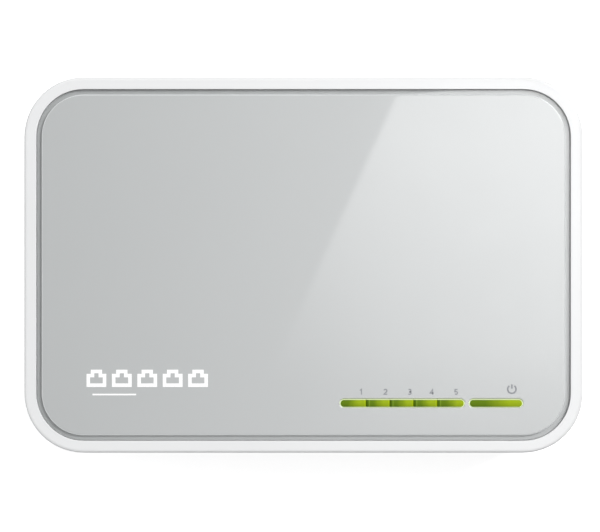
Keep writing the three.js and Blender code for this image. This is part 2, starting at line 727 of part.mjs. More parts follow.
place("power_socket_terminal", powerTerminal(), MATERIAL.tin, [POWER_SOCKET.x, 0, 0]);
place("power_socket_leaf", powerLeaf(), MATERIAL.tin, [POWER_SOCKET.x, LEAF.bend.y, LEAF.bend.z]);

const onBoard = (x, y) => [x, y, BOARD_TOP_Z];
const magnetics = {
  width: 7.2, depth: 12.7, height: 5.9, legs: 8, pitch: 1.27, reach: 1.2, legWidth: 0.45,
};
for (const i of count(PORTS.count))
  place(`transformer_${i + 1}`, leggedPackage(magnetics), MATERIAL.chip, onBoard(portX(i), 7.3));
place("switch_chip", leadlessPackage(9, 0.9, 0.8), MATERIAL.chip, onBoard(-4, -10));
place("crystal", crystalCan(), MATERIAL.can, onBoard(-22, -10));
place("input_capacitor", capacitorCan(), MATERIAL.can, onBoard(35.7, 15.5));
place("output_capacitor", capacitorCan(), MATERIAL.can, onBoard(35.7, 7.5));
place("power_inductor", powerInductor(), MATERIAL.ferrite, onBoard(34, -1));
const regulatorShape = {
  width: 3.9, depth: 4.9, height: 1.5, legs: 4, pitch: 1.27, reach: 1, legWidth: 0.42,
};
place("regulator", leggedPackage(regulatorShape), MATERIAL.chip, onBoard(24, -10));
place("input_diode", chipDiode(), MATERIAL.chip, onBoard(30.2, 11));

export default assembly;
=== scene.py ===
"""The looks of a small desktop network switch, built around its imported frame.

Lengths are named in millimetres and turned into metres where a mesh is made. +Y is the rear wall.
"""

import math

import bmesh
import bpy
from mathutils import Matrix, Vector


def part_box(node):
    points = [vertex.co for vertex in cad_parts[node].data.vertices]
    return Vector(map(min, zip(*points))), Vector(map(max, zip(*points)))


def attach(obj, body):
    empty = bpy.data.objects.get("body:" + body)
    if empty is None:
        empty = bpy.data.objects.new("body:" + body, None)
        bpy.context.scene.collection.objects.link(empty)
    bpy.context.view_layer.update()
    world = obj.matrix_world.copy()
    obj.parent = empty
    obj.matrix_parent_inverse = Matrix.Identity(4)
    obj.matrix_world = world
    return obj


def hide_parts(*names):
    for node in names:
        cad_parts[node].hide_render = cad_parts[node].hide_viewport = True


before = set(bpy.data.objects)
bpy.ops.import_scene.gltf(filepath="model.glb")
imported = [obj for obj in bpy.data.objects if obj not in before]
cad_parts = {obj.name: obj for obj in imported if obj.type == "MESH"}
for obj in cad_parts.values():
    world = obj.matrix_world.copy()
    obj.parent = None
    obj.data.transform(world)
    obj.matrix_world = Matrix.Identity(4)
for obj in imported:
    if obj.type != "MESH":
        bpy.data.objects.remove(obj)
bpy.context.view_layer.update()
MM = 0.001
STAGE = 4000.0  # half the width of the floor


# ------------ sizes, from the frame
def box_mm(node):
    """A CAD node's lowest and highest corners, in millimetres."""
    low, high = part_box(node)
    return low / MM, high / MM


def middle(node):
    low, high = box_mm(node)
    return (low + high) / 2


PORTS = range(1, 6)
CASE_LOW, CASE_HIGH = box_mm("upper_case")
HALF_W, HALF_D, TOP = CASE_HIGH
SPLIT = CASE_LOW.z  # the seam between the two shells
CORNER = 11.0  # radius of the outer corners in plan
WALL = 2.0  # thickness of both shells' side walls
EDGE = 0.6  # radius of the rim's outer edge
RIM = 2.25  # width of the rim round the panel's recess
BASE = box_mm("lower_case")[0].z
TRAY_TOP = SPLIT - 0.3  # leaves a narrow open seam
FLOOR = BASE + 1.8  # the top of the tray's floor
ROOF = 18.9  # the underside of the upper shell's roof
RECESS, PANEL_TOP = (corner.z for corner in box_mm("top_panel"))
BOARD_LOW, BOARD_HIGH = box_mm("circuit_board")
BOARD_TOP = BOARD_HIGH.z
LIGHT_Y = middle("power_light_pipe").y
PORT_X = {i: middle(f"port_{i}_contacts").x for i in PORTS}
SOCKET_LOW, SOCKET_HIGH = box_mm("port_housing")
JACK_LOW, JACK_HIGH = box_mm("power_socket_body")
JACK = ((JACK_LOW.x + JACK_HIGH.x) / 2, 13.3)  # the power inlet's axis, as X and Z
JACK_X, JACK_Z = JACK
BOTH = (-1, 1)


# ------------ mesh helpers
def new_object(name, bm):
    """A mesh object in metres from a bmesh drawn in millimetres."""
    bmesh.ops.scale(bm, vec=(MM, MM, MM), verts=bm.verts)
    bmesh.ops.recalc_face_normals(bm, faces=bm.faces)
    mesh = bpy.data.meshes.new(name)
    bm.to_mesh(mesh)
    bm.free()
    obj = bpy.data.objects.new(name, mesh)
    bpy.context.scene.collection.objects.link(obj)
    return obj


def rounded_rect(x, y, radius, steps=10):
    """A closed outline, anticlockwise, of a rectangle with round corners."""
    (x0, x1), (y0, y1) = x, y
    corners = [(x1, y0, -90), (x1, y1, 0), (x0, y1, 90), (x0, y0, 180)]
    points = []
    for cx, cy, start in corners:
        mx = cx - radius if cx == x1 else cx + radius
        my = cy - radius if cy == y1 else cy + radius
        for k in range(steps + 1):
            a = math.radians(start + 90 * k / steps)
            points.append((mx + radius * math.cos(a), my + radius * math.sin(a)))
    return points


def circle(x, y, radius, sides=32):
    angles = [2 * math.pi * k / sides for k in range(sides)]
    return [(x + radius * math.cos(a), y + radius * math.sin(a)) for a in angles]


def about(centre, width):
    return (centre - width / 2, centre + width / 2)


def arc(cx, cz, radius, start, end, steps):
    """Points of an arc in a profile, from one angle in degrees to another."""
    angles = [math.radians(start + (end - start) * k / steps) for k in range(steps + 1)]
    return [(cx + radius * math.cos(a), cz + radius * math.sin(a)) for a in angles]


def loft(rings, bm=None):
    """A closed solid through rings of equally many points, capped at both ends."""
    bm = bm or bmesh.new()
    made = [[bm.verts.new(p) for p in ring] for ring in rings]
    n = len(made[0])
    for low, high in zip(made, made[1:]):
        for k in range(n):
            bm.faces.new((low[k], low[(k + 1) % n], high[(k + 1) % n], high[k]))
    bm.faces.new(list(reversed(made[0])))
    bm.faces.new(made[-1])
    return bm


def offset_loft(outline, profile, bm=None):
    """A loft of outline(inset) through a profile of (inset, z) pairs."""
    return loft([[(x, y, z) for x, y in outline(inset)] for inset, z in profile], bm)


def body_outline(steps=14):
    def outline(inset):
        x = (-HALF_W + inset, HALF_W - inset)
        y = (-HALF_D + inset, HALF_D - inset)
        return rounded_rect(x, y, CORNER - inset, steps)

    return outline


def slab(x, y, z, radius=0.0, edge=0.0, steps=6, bm=None):
    """An upright block, with round corners in plan and rounded top and bottom edges."""

    def outline(inset):
        grown = [(x[0] + inset, x[1] - inset), (y[0] + inset, y[1] - inset)]
        if radius:
            return rounded_rect(*grown, max(radius - inset, 0.01), steps)
        (x0, x1), (y0, y1) = grown
        return [(x0, y0), (x1, y0), (x1, y1), (x0, y1)]

    if not edge:
        return offset_loft(outline, [(0, z[0]), (0, z[1])], bm)
    low = arc(edge, z[0] + edge, edge, 270, 180, 3)
    high = arc(edge, z[1] - edge, edge, 180, 90, 3)
    return offset_loft(outline, low + high, bm)


def node_slab(node, low_z=None, high_z=None, **shape):
    """A slab over a CAD node's box, or over the part of it between two heights."""
    low, high = box_mm(node)
    z = (low.z if low_z is None else low_z, high.z if high_z is None else high_z)
    return slab((low.x, high.x), (low.y, high.y), z, **shape)


def rod(axis, centre, radius, span, sides=32, bm=None):
    """A round rod along X, Y or Z, with its centre given by the two other coordinates."""
    rings = []
    for end in span:
        ring = []
        for u, v in circle(*centre, radius, sides):
            ring.append({"x": (end, u, v), "y": (u, end, v), "z": (u, v, end)}[axis])
        rings.append(ring)
    return loft(rings, bm)


def pillar(side, place, radius, span, sides=32):
    """An upright rod at a place that is given for the right side, on either side."""
    return rod("z", (side * place.x, place.y), radius, span, sides)


def lathe(profile, x=0.0, y=0.0, sides=40, bm=None):
    """A solid turned about an upright axis from (radius, z) pairs that start and end on it."""
    bm = bm or bmesh.new()
    rings = []
    for radius, z in profile:
        if radius < 1e-6:
            rings.append([bm.verts.new((x, y, z))])
        else:
            rings.append([bm.verts.new((px, py, z)) for px, py in circle(x, y, radius, sides)])
    for low, high in zip(rings, rings[1:]):
        for k in range(sides):
            j = (k + 1) % sides
            if len(low) == 1:
                bm.faces.new((low[0], high[j], high[k]))
            elif len(high) == 1:
                bm.faces.new((low[k], low[j], high[0]))
            else:
                bm.faces.new((low[k], low[j], high[j], high[k]))
    return bm


def closed_ring(profile, x, y, sides, bm):
    """A ring turned from a closed profile that doesn't touch the axis."""
    rings = [[bm.verts.new((px, py, z)) for px, py in circle(x, y, r, sides)] for r, z in profile]
    for a, b in zip(rings, rings[1:] + rings[:1]):
        for k in range(sides):
            j = (k + 1) % sides
            bm.faces.new((a[k], a[j], b[j], b[k]))


def sweep(path, section, bm=None, side=Vector((1, 0, 0))):
    """A closed bar of the given (across, up) section along a path in a plane normal to side."""
    points = [Vector(p) for p in path]
    rings = []
    for k, point in enumerate(points):
        before = points[max(k - 1, 0)]
        after = points[min(k + 1, len(points) - 1)]
        up = (after - before).normalized().cross(side).normalized()
        rings.append([point + side * a + up * b for a, b in section])
    return loft(rings, bm)


def slab_section(half_width, half_depth):
    """A rectangular section for sweep."""
    w, d = half_width, half_depth
    return [(-w, -d), (w, -d), (w, d), (-w, d)]


def smooth_path(points, radius, steps=5):
    """A path with each inner corner replaced by an arc of about the given radius."""
    points = [Vector(p) for p in points]
    path = [points[0]]
    for a, b, c in zip(points, points[1:], points[2:]):
        reach = min(radius, (b - a).length / 2, (c - b).length / 2)
        start = b + (a - b).normalized() * reach
        end = b + (c - b).normalized() * reach
        for k in range(steps + 1):
            t = k / steps
            path.append(start * (1 - t) ** 2 + b * (2 * t * (1 - t)) + end * t**2)
    return path + [points[-1]]


def evaluated(obj):
    """Replaces an object's mesh by what its modifiers make of it, and drops the modifiers."""
    graph = bpy.context.evaluated_depsgraph_get()
    mesh = bpy.data.meshes.new_from_object(obj.evaluated_get(graph))
    obj.modifiers.clear()
    old = obj.data
    obj.data = mesh
    bpy.data.meshes.remove(old)
    return obj


def combine(obj, tools, operation):
    """Cuts tools out of obj, or joins them to it. Each tool is a closed bmesh in millimetres."""
    for index, tool in enumerate(tools):
        helper = new_object(f"tool_{index}", tool)
        modifier = obj.modifiers.new("combine", "BOOLEAN")
        modifier.object = helper
        modifier.operation = operation
        modifier.solver = "EXACT"
        evaluated(obj)
        bpy.data.objects.remove(helper)
    return obj


def cut(obj, *tools):
    return combine(obj, tools, "DIFFERENCE")


def fuse(obj, *tools):
    return combine(obj, tools, "UNION")


def finish_edges(obj, bevel=0.0, segments=2, above=50, sharp=35):
    """Rounds the hard edges and shades the rest smoothly, with flat faces kept flat."""
    if bevel:
        modifier = obj.modifiers.new("bevel", "BEVEL")
        modifier.width = bevel * MM
        modifier.segments = segments
        modifier.limit_method = "ANGLE"
        modifier.angle_limit = math.radians(above)
        modifier.use_clamp_overlap = True
        evaluated(obj)
    mesh = obj.data
    mesh.polygons.foreach_set("use_smooth", [True] * len(mesh.polygons))
    mesh.set_sharp_from_angle(angle=math.radians(sharp))
    modifier = obj.modifiers.new("normals", "WEIGHTED_NORMAL")
    modifier.keep_sharp = True
    modifier.weight = 100
    return evaluated(obj)


def add_piece(obj, material, slot, node=None, body="body", **edges):
    """Finishes a piece's edges, gives it its material and CAD body, and hides the node that it
    replaces. The slot is not used.
    """
    finish_edges(obj, **edges)
    obj.data.materials.clear()
    obj.data.materials.append(material)
    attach(obj, body)
    if node:
        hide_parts(node)


# ------------ materials
def srgb(*levels):
    """A linear colour from display levels of 0 to 255."""

    def linear(level):
        c = level / 255
        return c / 12.92 if c <= 0.04045 else ((c + 0.055) / 1.055) ** 2.4

    return (*[linear(level) for level in levels], 1.0)


def scaled(colour, factor):
    return (*[min(c * factor, 1.0) for c in colour[:3]], 1.0)


class Nodes:
    """Small helpers that add shader nodes to a tree."""

    def __init__(self, tree):
        self.nodes, self.links = tree.nodes, tree.links

    def feed(self, value, socket):
        """Sets a socket to a value, or links another node's output to it."""
        if isinstance(value, bpy.types.NodeSocket):
            self.links.new(value, socket)
        else:
            socket.default_value = value

    def add(self, kind, output, inputs=None, **settings):
        """Adds a node, feeds its inputs and returns one of its outputs."""
        node = self.nodes.new(f"ShaderNode{kind}")
        for name, value in settings.items():
            setattr(node, name, value)
        for name, value in (inputs or {}).items():
            self.feed(value, node.inputs[name])
        return node.outputs[output]

    def spread(self, value, low, high, to_low, to_high):
        """Takes the range low to high to another range, and holds the value at its ends."""
        ends = {"From Min": low, "From Max": high, "To Min": to_low, "To Max": to_high}
        return self.add("MapRange", "Result", {"Value": value, **ends})

    def math(self, operation, a, b):
        return self.add("Math", "Value", {0: a, 1: b}, operation=operation)

    def mixed(self, factor, a, b):
        return self.add("Mix", 2, {"Factor": factor, 6: a, 7: b}, data_type="RGBA")

    def times(self, colour, factor):
        return self.add("VectorMath", "Vector", {0: colour, "Scale": factor}, operation="SCALE")


class Surface(Nodes):
    """A Principled material with procedural detail in object space."""

    def __init__(self, name, colour, roughness, **values):
        self.material = bpy.data.materials.new(name)
        self.material.use_nodes = True
        super().__init__(self.material.node_tree)
        self.shader = next(n for n in self.nodes if n.type == "BSDF_PRINCIPLED")
        self.position = self.add("TexCoord", "Object")
        self.last_normal = None
        for label, value in {"Base_Color": colour, "Roughness": roughness, **values}.items():
            self.set(label.replace("_", " "), value)

    def set(self, socket, value):
        """Sets or links one of the shader's own sockets."""
        self.feed(value, self.shader.inputs[socket])

    def noise(self, size_mm, detail=3, contrast=0.5, stretch=(1, 1, 1)):
        """Noise from 0 to 1 whose features are about size_mm across."""
        place = self.add("Mapping", "Vector", {"Vector": self.position, "Scale": stretch})
        inputs = {"Vector": place, "Scale": 1 / (size_mm * MM), "Detail": detail}
        value = self.add("TexNoise", "Fac", inputs)
        return self.spread(value, 0.5 - contrast / 2, 0.5 + contrast / 2, 0, 1)

    def cells(self, size_mm):
        """A level of its own for each cell of about size_mm."""
        inputs = {"Vector": self.position, "Scale": 1 / (size_mm * MM)}
        return self.add("TexVoronoi", "Color", inputs)

    def axis(self, name, vector=None):
        return self.add("SeparateXYZ", name, {"Vector": vector or self.position})

    def within(self, value, low_mm, high_mm, soft_mm=0.04):
        """1 between two lengths and 0 outside them."""
        up = self.spread(value, (low_mm - soft_mm) * MM, (low_mm + soft_mm) * MM, 0, 1)
        down = self.spread(value, (high_mm - soft_mm) * MM, (high_mm + soft_mm) * MM, 1, 0)
        return self.math("MULTIPLY", up, down)

    def tint(self, factor, low, high):
        """Colours the surface between two colours by a factor."""
        self.set("Base Color", self.mixed(factor, low, high))

    def rough(self, factor, low, high):
        self.set("Roughness", self.spread(factor, 0, 1, low, high))

    def bump(self, height, depth_mm):
        """Adds relief on top of what is there already."""
        inputs = {"Height": height, "Strength": 1.0, "Distance": depth_mm * MM}
        if self.last_normal:
            inputs["Normal"] = self.last_normal
        self.last_normal = self.add("Bump", "Normal", inputs)
        self.set("Normal", self.last_normal)


def uneven(name, colour, roughness, tone, gloss, *relief, **values):
    """A surface with slightly uneven tone and gloss and with fine relief.

    tone and gloss start with their two ends, tone's as factors of the colour, and each relief
    starts with its depth. The size, the detail and the contrast of the noise follow.
    """
    s = Surface(name, colour, roughness, **values)
    low, high, *noise = tone
    s.tint(s.noise(*noise), scaled(colour, low), scaled(colour, high))
    low, high, *noise = gloss
    s.rough(s.noise(*noise), low, high)
    for depth, *noise in relief:
        s.bump(s.noise(*noise), depth)
    return s.material


def moulded(name, colour, roughness, variation, grain_mm, grain_depth):
    """Injection-moulded plastic: faint flow tone, uneven gloss and a fine tool texture."""
    tone = (1 - variation, 1 + variation, 26, 4)
    gloss = (roughness * 0.85, roughness * 1.2, 7, 5)
    return uneven(name, colour, roughness, tone, gloss, (grain_depth, grain_mm, 2))


def ink(name, colour):
    """Pad-printed ink: slightly uneven cover and a soft surface."""
    return uneven(name, colour, 0.4, (0.94, 1.05, 0.3), (0.34, 0.48, 0.5), (0.001, 0.08, 2))


def plated(name, colour, roughness, stretch=(1, 12, 1)):
    """Plated or drawn metal with fine drawing lines and slight tarnish."""
    s = Surface(name, colour, roughness, Metallic=1.0)
    lines = s.noise(0.35, detail=4, stretch=stretch)
    s.tint(s.noise(2.5, detail=4), scaled(colour, 0.86), scaled(colour, 1.06))
    s.rough(lines, roughness * 0.7, roughness * 1.35)
    s.bump(lines, 0.004)
    return s.material


def make_can_metal():
    """Drawn aluminium, with its drawing lines along the can."""
    s = Surface("can_metal", (0.72, 0.73, 0.74, 1), 0.28, Metallic=1.0)
    lines = s.noise(0.3, stretch=(1, 1, 8))
    s.rough(lines, 0.2, 0.4)
    s.tint(s.noise(1.5), (0.66, 0.67, 0.68, 1), (0.78, 0.79, 0.8, 1))
    s.bump(lines, 0.004)
    return s.material


def make_ferrite():
    colour = (0.045, 0.045, 0.05, 1)
    s = Surface("ferrite", colour, 0.65)
    s.tint(s.cells(0.25), scaled(colour, 0.7), scaled(colour, 1.5))
    s.bump(s.noise(0.2, detail=5), 0.02)
    return s.material


def make_panel_grey():
    """Silver-grey lacquer under a clear gloss coat, with very fine flake.

    Its colour is lightened where the surface turns over the edge, a painted highlight, and darkened
    on the flange below, a painted shade.
    """
    colour = (0.425, 0.438, 0.44, 1)
    coat = {"Coat_Weight": 1.0, "Coat_Roughness": 0.03, "Coat_IOR": 1.5}
    s = Surface("panel_grey", colour, 0.3, IOR=1.5, **coat)
    lacquer = s.mixed(s.noise(40), scaled(colour, 0.992), scaled(colour, 1.008))
    flake = s.spread(s.cells(0.11), 0, 1, 0.993, 1.007)
    # painted highlight along the rounded edge: up to 1.6 times lighter where the surface slopes
    facing = s.axis("Z", s.add("NewGeometry", "Normal"))
    steep, flat = s.spread(facing, 0.1, 0.5, 0, 1), s.spread(facing, 0.9, 0.99, 1, 0)
    edge = s.spread(s.math("MULTIPLY", steep, flat), 0, 1, 1.0, 1.6)
    # painted shade in the groove: the flange is darkened to 0.88 below the raised plate
    flange = s.spread(s.axis("Z"), (RECESS + 0.35) * MM, (RECESS + 0.5) * MM, 0.88, 1.0)
    level = s.math("MULTIPLY", s.math("MULTIPLY", flake, edge), flange)
    s.set("Base Color", s.times(lacquer, level))
    s.rough(s.noise(6, detail=6), 0.28, 0.33)
    s.bump(s.noise(9, detail=1, contrast=1.0), 0.0008)
    return s.material


def make_light_green(name, span, pill, divided):
    """A tinted clear window with light painted into its colour: dark green on its left to lime on
    its right and lighter at its right end, as if lit from the right, darker towards its front, and
    a glowing rim with a painted highlight at its front and ends and painted shade at its rear.

    span is the window's own extent along X, pill the extent of the whole rounded slot, and a
    divided window starts with the dark band that parts it from the window before it.
    """
    # dark and lime: the shaded left and lit right of each window's painted light; pale and shade:
    # the rim's painted highlight and painted shade
    dark, deep, lime = srgb(88, 116, 10), srgb(70, 98, 3), srgb(146, 167, 18)
    line, pale, shade = srgb(114, 142, 40), srgb(215, 227, 186), srgb(180, 190, 150)
    # painted glow: the window gives off light of its own, though nothing in the scene lights it
    glow = {"Specular_IOR_Level": 0.06, "Emission_Strength": 0.5}
    s = Surface(name, dark, 0.3, IOR=1.53, **glow)
    x, y = s.axis("X"), s.math("SUBTRACT", s.axis("Y"), (LIGHT_Y - 0.06) * MM)
    along = s.math("SUBTRACT", x, span[0] * MM)
    length = (span[1] - span[0]) * MM
    # painted shade and light: each window runs from dark green on its left to lime on its right, as
    # if lit from the right
    wave = s.math("ADD", along, s.spread(s.noise(1.1, detail=2), 0, 1, -0.25 * MM, 0.25 * MM))
    colour = s.mixed(s.spread(wave, 0.3 * length, 0.75 * length, 0, 1), dark, lime)
    if divided:
        colour = s.mixed(s.within(along, 0.36, 0.56), colour, line)
        colour = s.mixed(s.spread(along, 0.3 * MM, 0.42 * MM, 1, 0), colour, deep)
    # painted highlight: a lighter lime band at each window's right end
    far_end = s.within(along, length / MM - 0.22, length / MM)
    colour = s.mixed(far_end, colour, scaled(lime, 1.15))
    # painted shade: the window's colour falls to 0.72 of itself towards its front edge
    painted_front_shade = s.times(colour, s.spread(y, -0.55 * MM, 0.2 * MM, 0.72, 1.0))
    # distance from the pill's middle line, which finds its rim
    round_end = (pill[1] - pill[0] - LIGHT_HEIGHT) / 2 * MM
    off = s.math("ABSOLUTE", s.math("SUBTRACT", x, sum(pill) / 2 * MM), 0)
    off = s.math("MAXIMUM", s.math("SUBTRACT", off, round_end), 0)
    squares = s.math("ADD", s.math("POWER", off, 2), s.math("POWER", y, 2))
    outer = s.spread(s.math("POWER", squares, 0.5), 0.62 * MM, 0.68 * MM, 0, 1)
    # painted highlight and shade round the rim: pale at the front and ends, darker at the rear
    rim = s.mixed(s.spread(y, 0.2 * MM, 0.6 * MM, 0, 1), pale, shade)
    s.set("Base Color", s.mixed(outer, painted_front_shade, rim))
    # painted glow: the rim gives off its pale and shaded colour as light, the rest a faint lime
    s.set("Emission Color", s.mixed(outer, scaled(lime, 0.08), rim))
    s.rough(s.noise(0.6), 0.25, 0.35)
    s.bump(s.noise(0.5, detail=2), 0.002)
    return s.material


def make_board_green():
    """Solder mask over copper: straight traces in two directions, planes, and weave."""
    base, copper, weave = (0.008, 0.085, 0.035, 1), (0.02, 0.17, 0.065, 1), (0.006, 0.065, 0.028, 1)
    s = Surface("board_green", base, 0.28, IOR=1.52)
    planes = s.spread(s.cells(9), 0.45, 0.55, 0, 1)
    region = s.spread(s.cells(6.5), 0.48, 0.52, 0, 1)
    traces = []
    for direction, part in (("X", region), ("Y", s.math("SUBTRACT", 1, region))):
        inputs = {"Vector": s.position, "Scale": 1 / (0.9 * MM) / 20, "Distortion": 0.0}
        wave = s.add("TexWave", "Fac", inputs, bands_direction=direction)
        traces.append(s.math("MULTIPLY", s.spread(wave, 0.62, 0.68, 0, 1), part))
    run = s.math("MULTIPLY", s.math("ADD", *traces), planes)
    raised = s.math("MAXIMUM", run, s.math("SUBTRACT", 1, planes))
    threads = s.noise(0.4, detail=1, stretch=(1, 3, 1))
    s.set("Base Color", s.mixed(raised, s.mixed(threads, weave, base), copper))
    s.rough(s.noise(3, detail=4), 0.22, 0.36)
    s.bump(raised, 0.03)
    s.bump(threads, 0.006)
    return s.material


def grey(level, blue=0.0):
    return (level, level, level + blue, 1)


CASE_WHITE = uneven(
    "case_white", (0.735, 0.74, 0.745, 1), 0.16, (0.985, 1.015, 30, 4), (0.12, 0.2, 5, 6),
    (0.0012, 1.6), (0.0006, 0.18, 2), IOR=1.5, Specular_IOR_Level=0.24,
)
BASE_WHITE = uneven(  # duller, with a spark-eroded texture
    "base_white", (0.74, 0.745, 0.75, 1), 0.42, (0.98, 1.015, 30, 4), (0.36, 0.5, 4, 5),
    (0.012, 0.3, 3, 0.6),
)
RUBBER = uneven(
    "foot_rubber", grey(0.035, 0.002), 0.85, (0.8, 1.5, 2.5, 6), (0.75, 0.95, 1.2, 4),
    (0.02, 0.25, 4),
)
LABEL_FILM = uneven(
    "label_film", (0.62, 0.63, 0.64, 1), 0.45, (0.97, 1.02, 12, 4), (0.38, 0.52, 1.5, 4),
    (0.002, 0.2, 2), (0.01, 8, 2),
)
PANEL_GREY = make_panel_grey()
BOARD_GREEN = make_board_green()
FERRITE = make_ferrite()
CAN = make_can_metal()
SOCKET_BLACK = moulded("socket_black", grey(0.014, 0.001), 0.42, 0.12, 0.2, 0.006)
HOLDER_BLACK = moulded("holder_black", grey(0.02, 0.001), 0.6, 0.15, 0.25, 0.01)
CHIP_BLACK = moulded("chip_black", grey(0.018, 0.001), 0.55, 0.2, 0.12, 0.012)
CARRIER_BLACK = moulded("carrier_black", grey(0.03, 0.002), 0.5, 0.12, 0.2, 0.006)
EMITTER = moulded("led_emitter", (0.72, 0.72, 0.6, 1), 0.2, 0.05, 0.3, 0.002)
CERAMIC = moulded("ceramic_tan", (0.36, 0.24, 0.13, 1), 0.5, 0.12, 0.15, 0.006)
GOLD = plated("contact_gold", (0.9, 0.66, 0.27, 1), 0.32)
TIN = plated("tin_plate", (0.72, 0.72, 0.71, 1), 0.3)
STEEL = plated("screw_steel", (0.58, 0.59, 0.6, 1), 0.32, stretch=(1, 1, 10))
COPPER = plated("copper_wire", (0.72, 0.33, 0.17, 1), 0.3, stretch=(6, 6, 1))
PRINT_WHITE = ink("print_white", grey(0.93))
PRINT_GREY = ink("print_grey", srgb(134, 136, 140))


# ------------ outlines of the light windows
LIGHT_SPANS = {f"port_{i}": [box_mm(f"port_{i}_light_pipe")[k].x for k in (0, 1)] for i in PORTS}
LIGHT_SPANS["power"] = [box_mm("power_light_pipe")[k].x for k in (0, 1)]
LIGHT_HEIGHT = 1.43
SLOT_GAP = 0.15
NECK_WIDTH = 3.4


def window_outline(span, round_left, round_right, steps=10):
    """The outline of a light's head, with round or square ends, as a function of an inset."""

    def outline(inset):
        r = LIGHT_HEIGHT / 2 - inset
        x0, x1 = span[0] + inset, span[1] - inset
        points = []
        for x, side, is_round in ((x1, 1, round_right), (x0, -1, round_left)):
            for k in range(steps + 1):
                a = math.pi * (k / steps - 0.5)
                if is_round:
                    p = (x - side * r + side * r * math.cos(a), side * r * math.sin(a))
                else:
                    p = (x, side * r * (2 * k / steps - 1))
                points.append((p[0], LIGHT_Y + p[1]))
        return points

    return outline


ROW_SPAN = (LIGHT_SPANS["port_1"][0], LIGHT_SPANS["port_5"][1])


def light_shafts(z):
    """The square holes that the light pipes' necks pass through."""
    shafts = []
    for span in LIGHT_SPANS.values():
        x = about(sum(span) / 2, NECK_WIDTH + 2 * SLOT_GAP)
        shafts.append(slab(x, about(LIGHT_Y, LIGHT_HEIGHT + 2 * SLOT_GAP), z))
    return shafts


# ------------ cases
CASE_SCREW = middle("case_screw_right")
BOARD_SCREW = middle("board_screw_right")
DOWEL = Vector((42.0, -20.0))
SNAP_X = 22.0
SNAP_WIDTH = 6.0
SIDE_VENT = {"count": 11, "pitch": 3.2, "width": 1.5, "low": 10.5, "high": 15.5}
BASE_VENT = {"count": 9, "pitch": 5.0, "width": 1.6, "front": 17.0, "rear": 27.0}
CORNERS = ("front_left", "front_right", "rear_left", "rear_right")


def row(vents):
    """The middles of a row of vents, along the line that they stand on."""
    return [(k - (vents["count"] - 1) / 2) * vents["pitch"] for k in range(vents["count"])]


def socket_window():
    """The opening in the rear wall that the network sockets stand in."""
    gap = 0.25
    x = (SOCKET_LOW.x - gap, SOCKET_HIGH.x + gap)
    return slab(x, (HALF_D - WALL - 1.5, HALF_D + 1), (BOARD_TOP - 0.1, ROOF))


def make_upper_case():
    small = 0.12  # radius of the recess's edge and of the edge at the seam
    lip, lip_top = 0.95, 9.2  # the thin wall outside the tray's lip
    profile = [(RIM, RECESS)]
    profile += arc(RIM - small, TOP - small, small, 0, 90, 4)
    profile += arc(EDGE, TOP - EDGE, EDGE, 90, 180, 10)
    profile += arc(small, SPLIT + small, small, 180, 270, 3)
    profile += [(lip, SPLIT), (lip, lip_top), (WALL, lip_top), (WALL, ROOF)]
    case = new_object("upper_case_shell", offset_loft(body_outline(), profile))
    post_top = ROOF + 0.4
    for side in BOTH:
        fuse(case, pillar(side, CASE_SCREW, 3.1, (6.1, post_top)))
        fuse(case, pillar(side, DOWEL, 2.5, (BOARD_TOP + 0.1, post_top)))
    cut(case, socket_window(), rod("y", JACK, 4.3, (30, 36), 48))
    cut(case, *light_shafts((ROOF - 1, RECESS + 1)))
    inner = HALF_D - WALL
    for side in BOTH:
        across = about(side * SNAP_X, SNAP_WIDTH + 0.6)
        snap_slot = slab(across, (-inner - 0.9, -inner + 1), (10.3, 12.2))
        screw_bore = pillar(side, CASE_SCREW, 1.45, (5, 16))
        cut(case, screw_bore, pillar(side, DOWEL, 1.5, (BOARD_TOP - 1, 9)), snap_slot)
    for side in BOTH:
        ends = (side * (HALF_W + 1), side * (HALF_W - WALL - 1))
        for y in row(SIDE_VENT):
            z = (SIDE_VENT["low"], SIDE_VENT["high"])
            outline = rounded_rect(about(y, SIDE_VENT["width"]), z, 0.74, 5)
            cut(case, loft([[(x, a, b) for a, b in outline] for x in ends]))
    add_piece(case, CASE_WHITE, "case_white", "upper_case", bevel=0.1, above=60)


def keyhole(side):
    """A wall-mount keyhole: a round entry and a narrower slot towards the rear."""
    x, y = side * 31.0, -3.0
    entry, slot, length = 3.8, 1.9, 8.0
    start = math.degrees(math.asin(slot / entry))
    outline = arc(x, y, entry, 90 + start, 450 - start, 24)
    outline += arc(x, y + length, slot, 0, 180, 12)
    return loft([[(px, py, z) for px, py in outline] for z in (BASE - 1, FLOOR + 0.5)])


def snap_hook(side):
    """An upright arm at the front wall with a hook that leans outwards."""
    face, nose = -HALF_D + WALL + 0.2, 0.7
    hook = [(face + 1.2, FLOOR - 0.5), (face + 1.2, 12), (face + 0.4, 12), (face - nose, 10.9)]
    hook += [(face - nose, 10.6), (face, 10.6), (face, FLOOR - 0.5)]
    return loft([[(x, y, z) for y, z in hook] for x in about(side * SNAP_X, SNAP_WIDTH)])


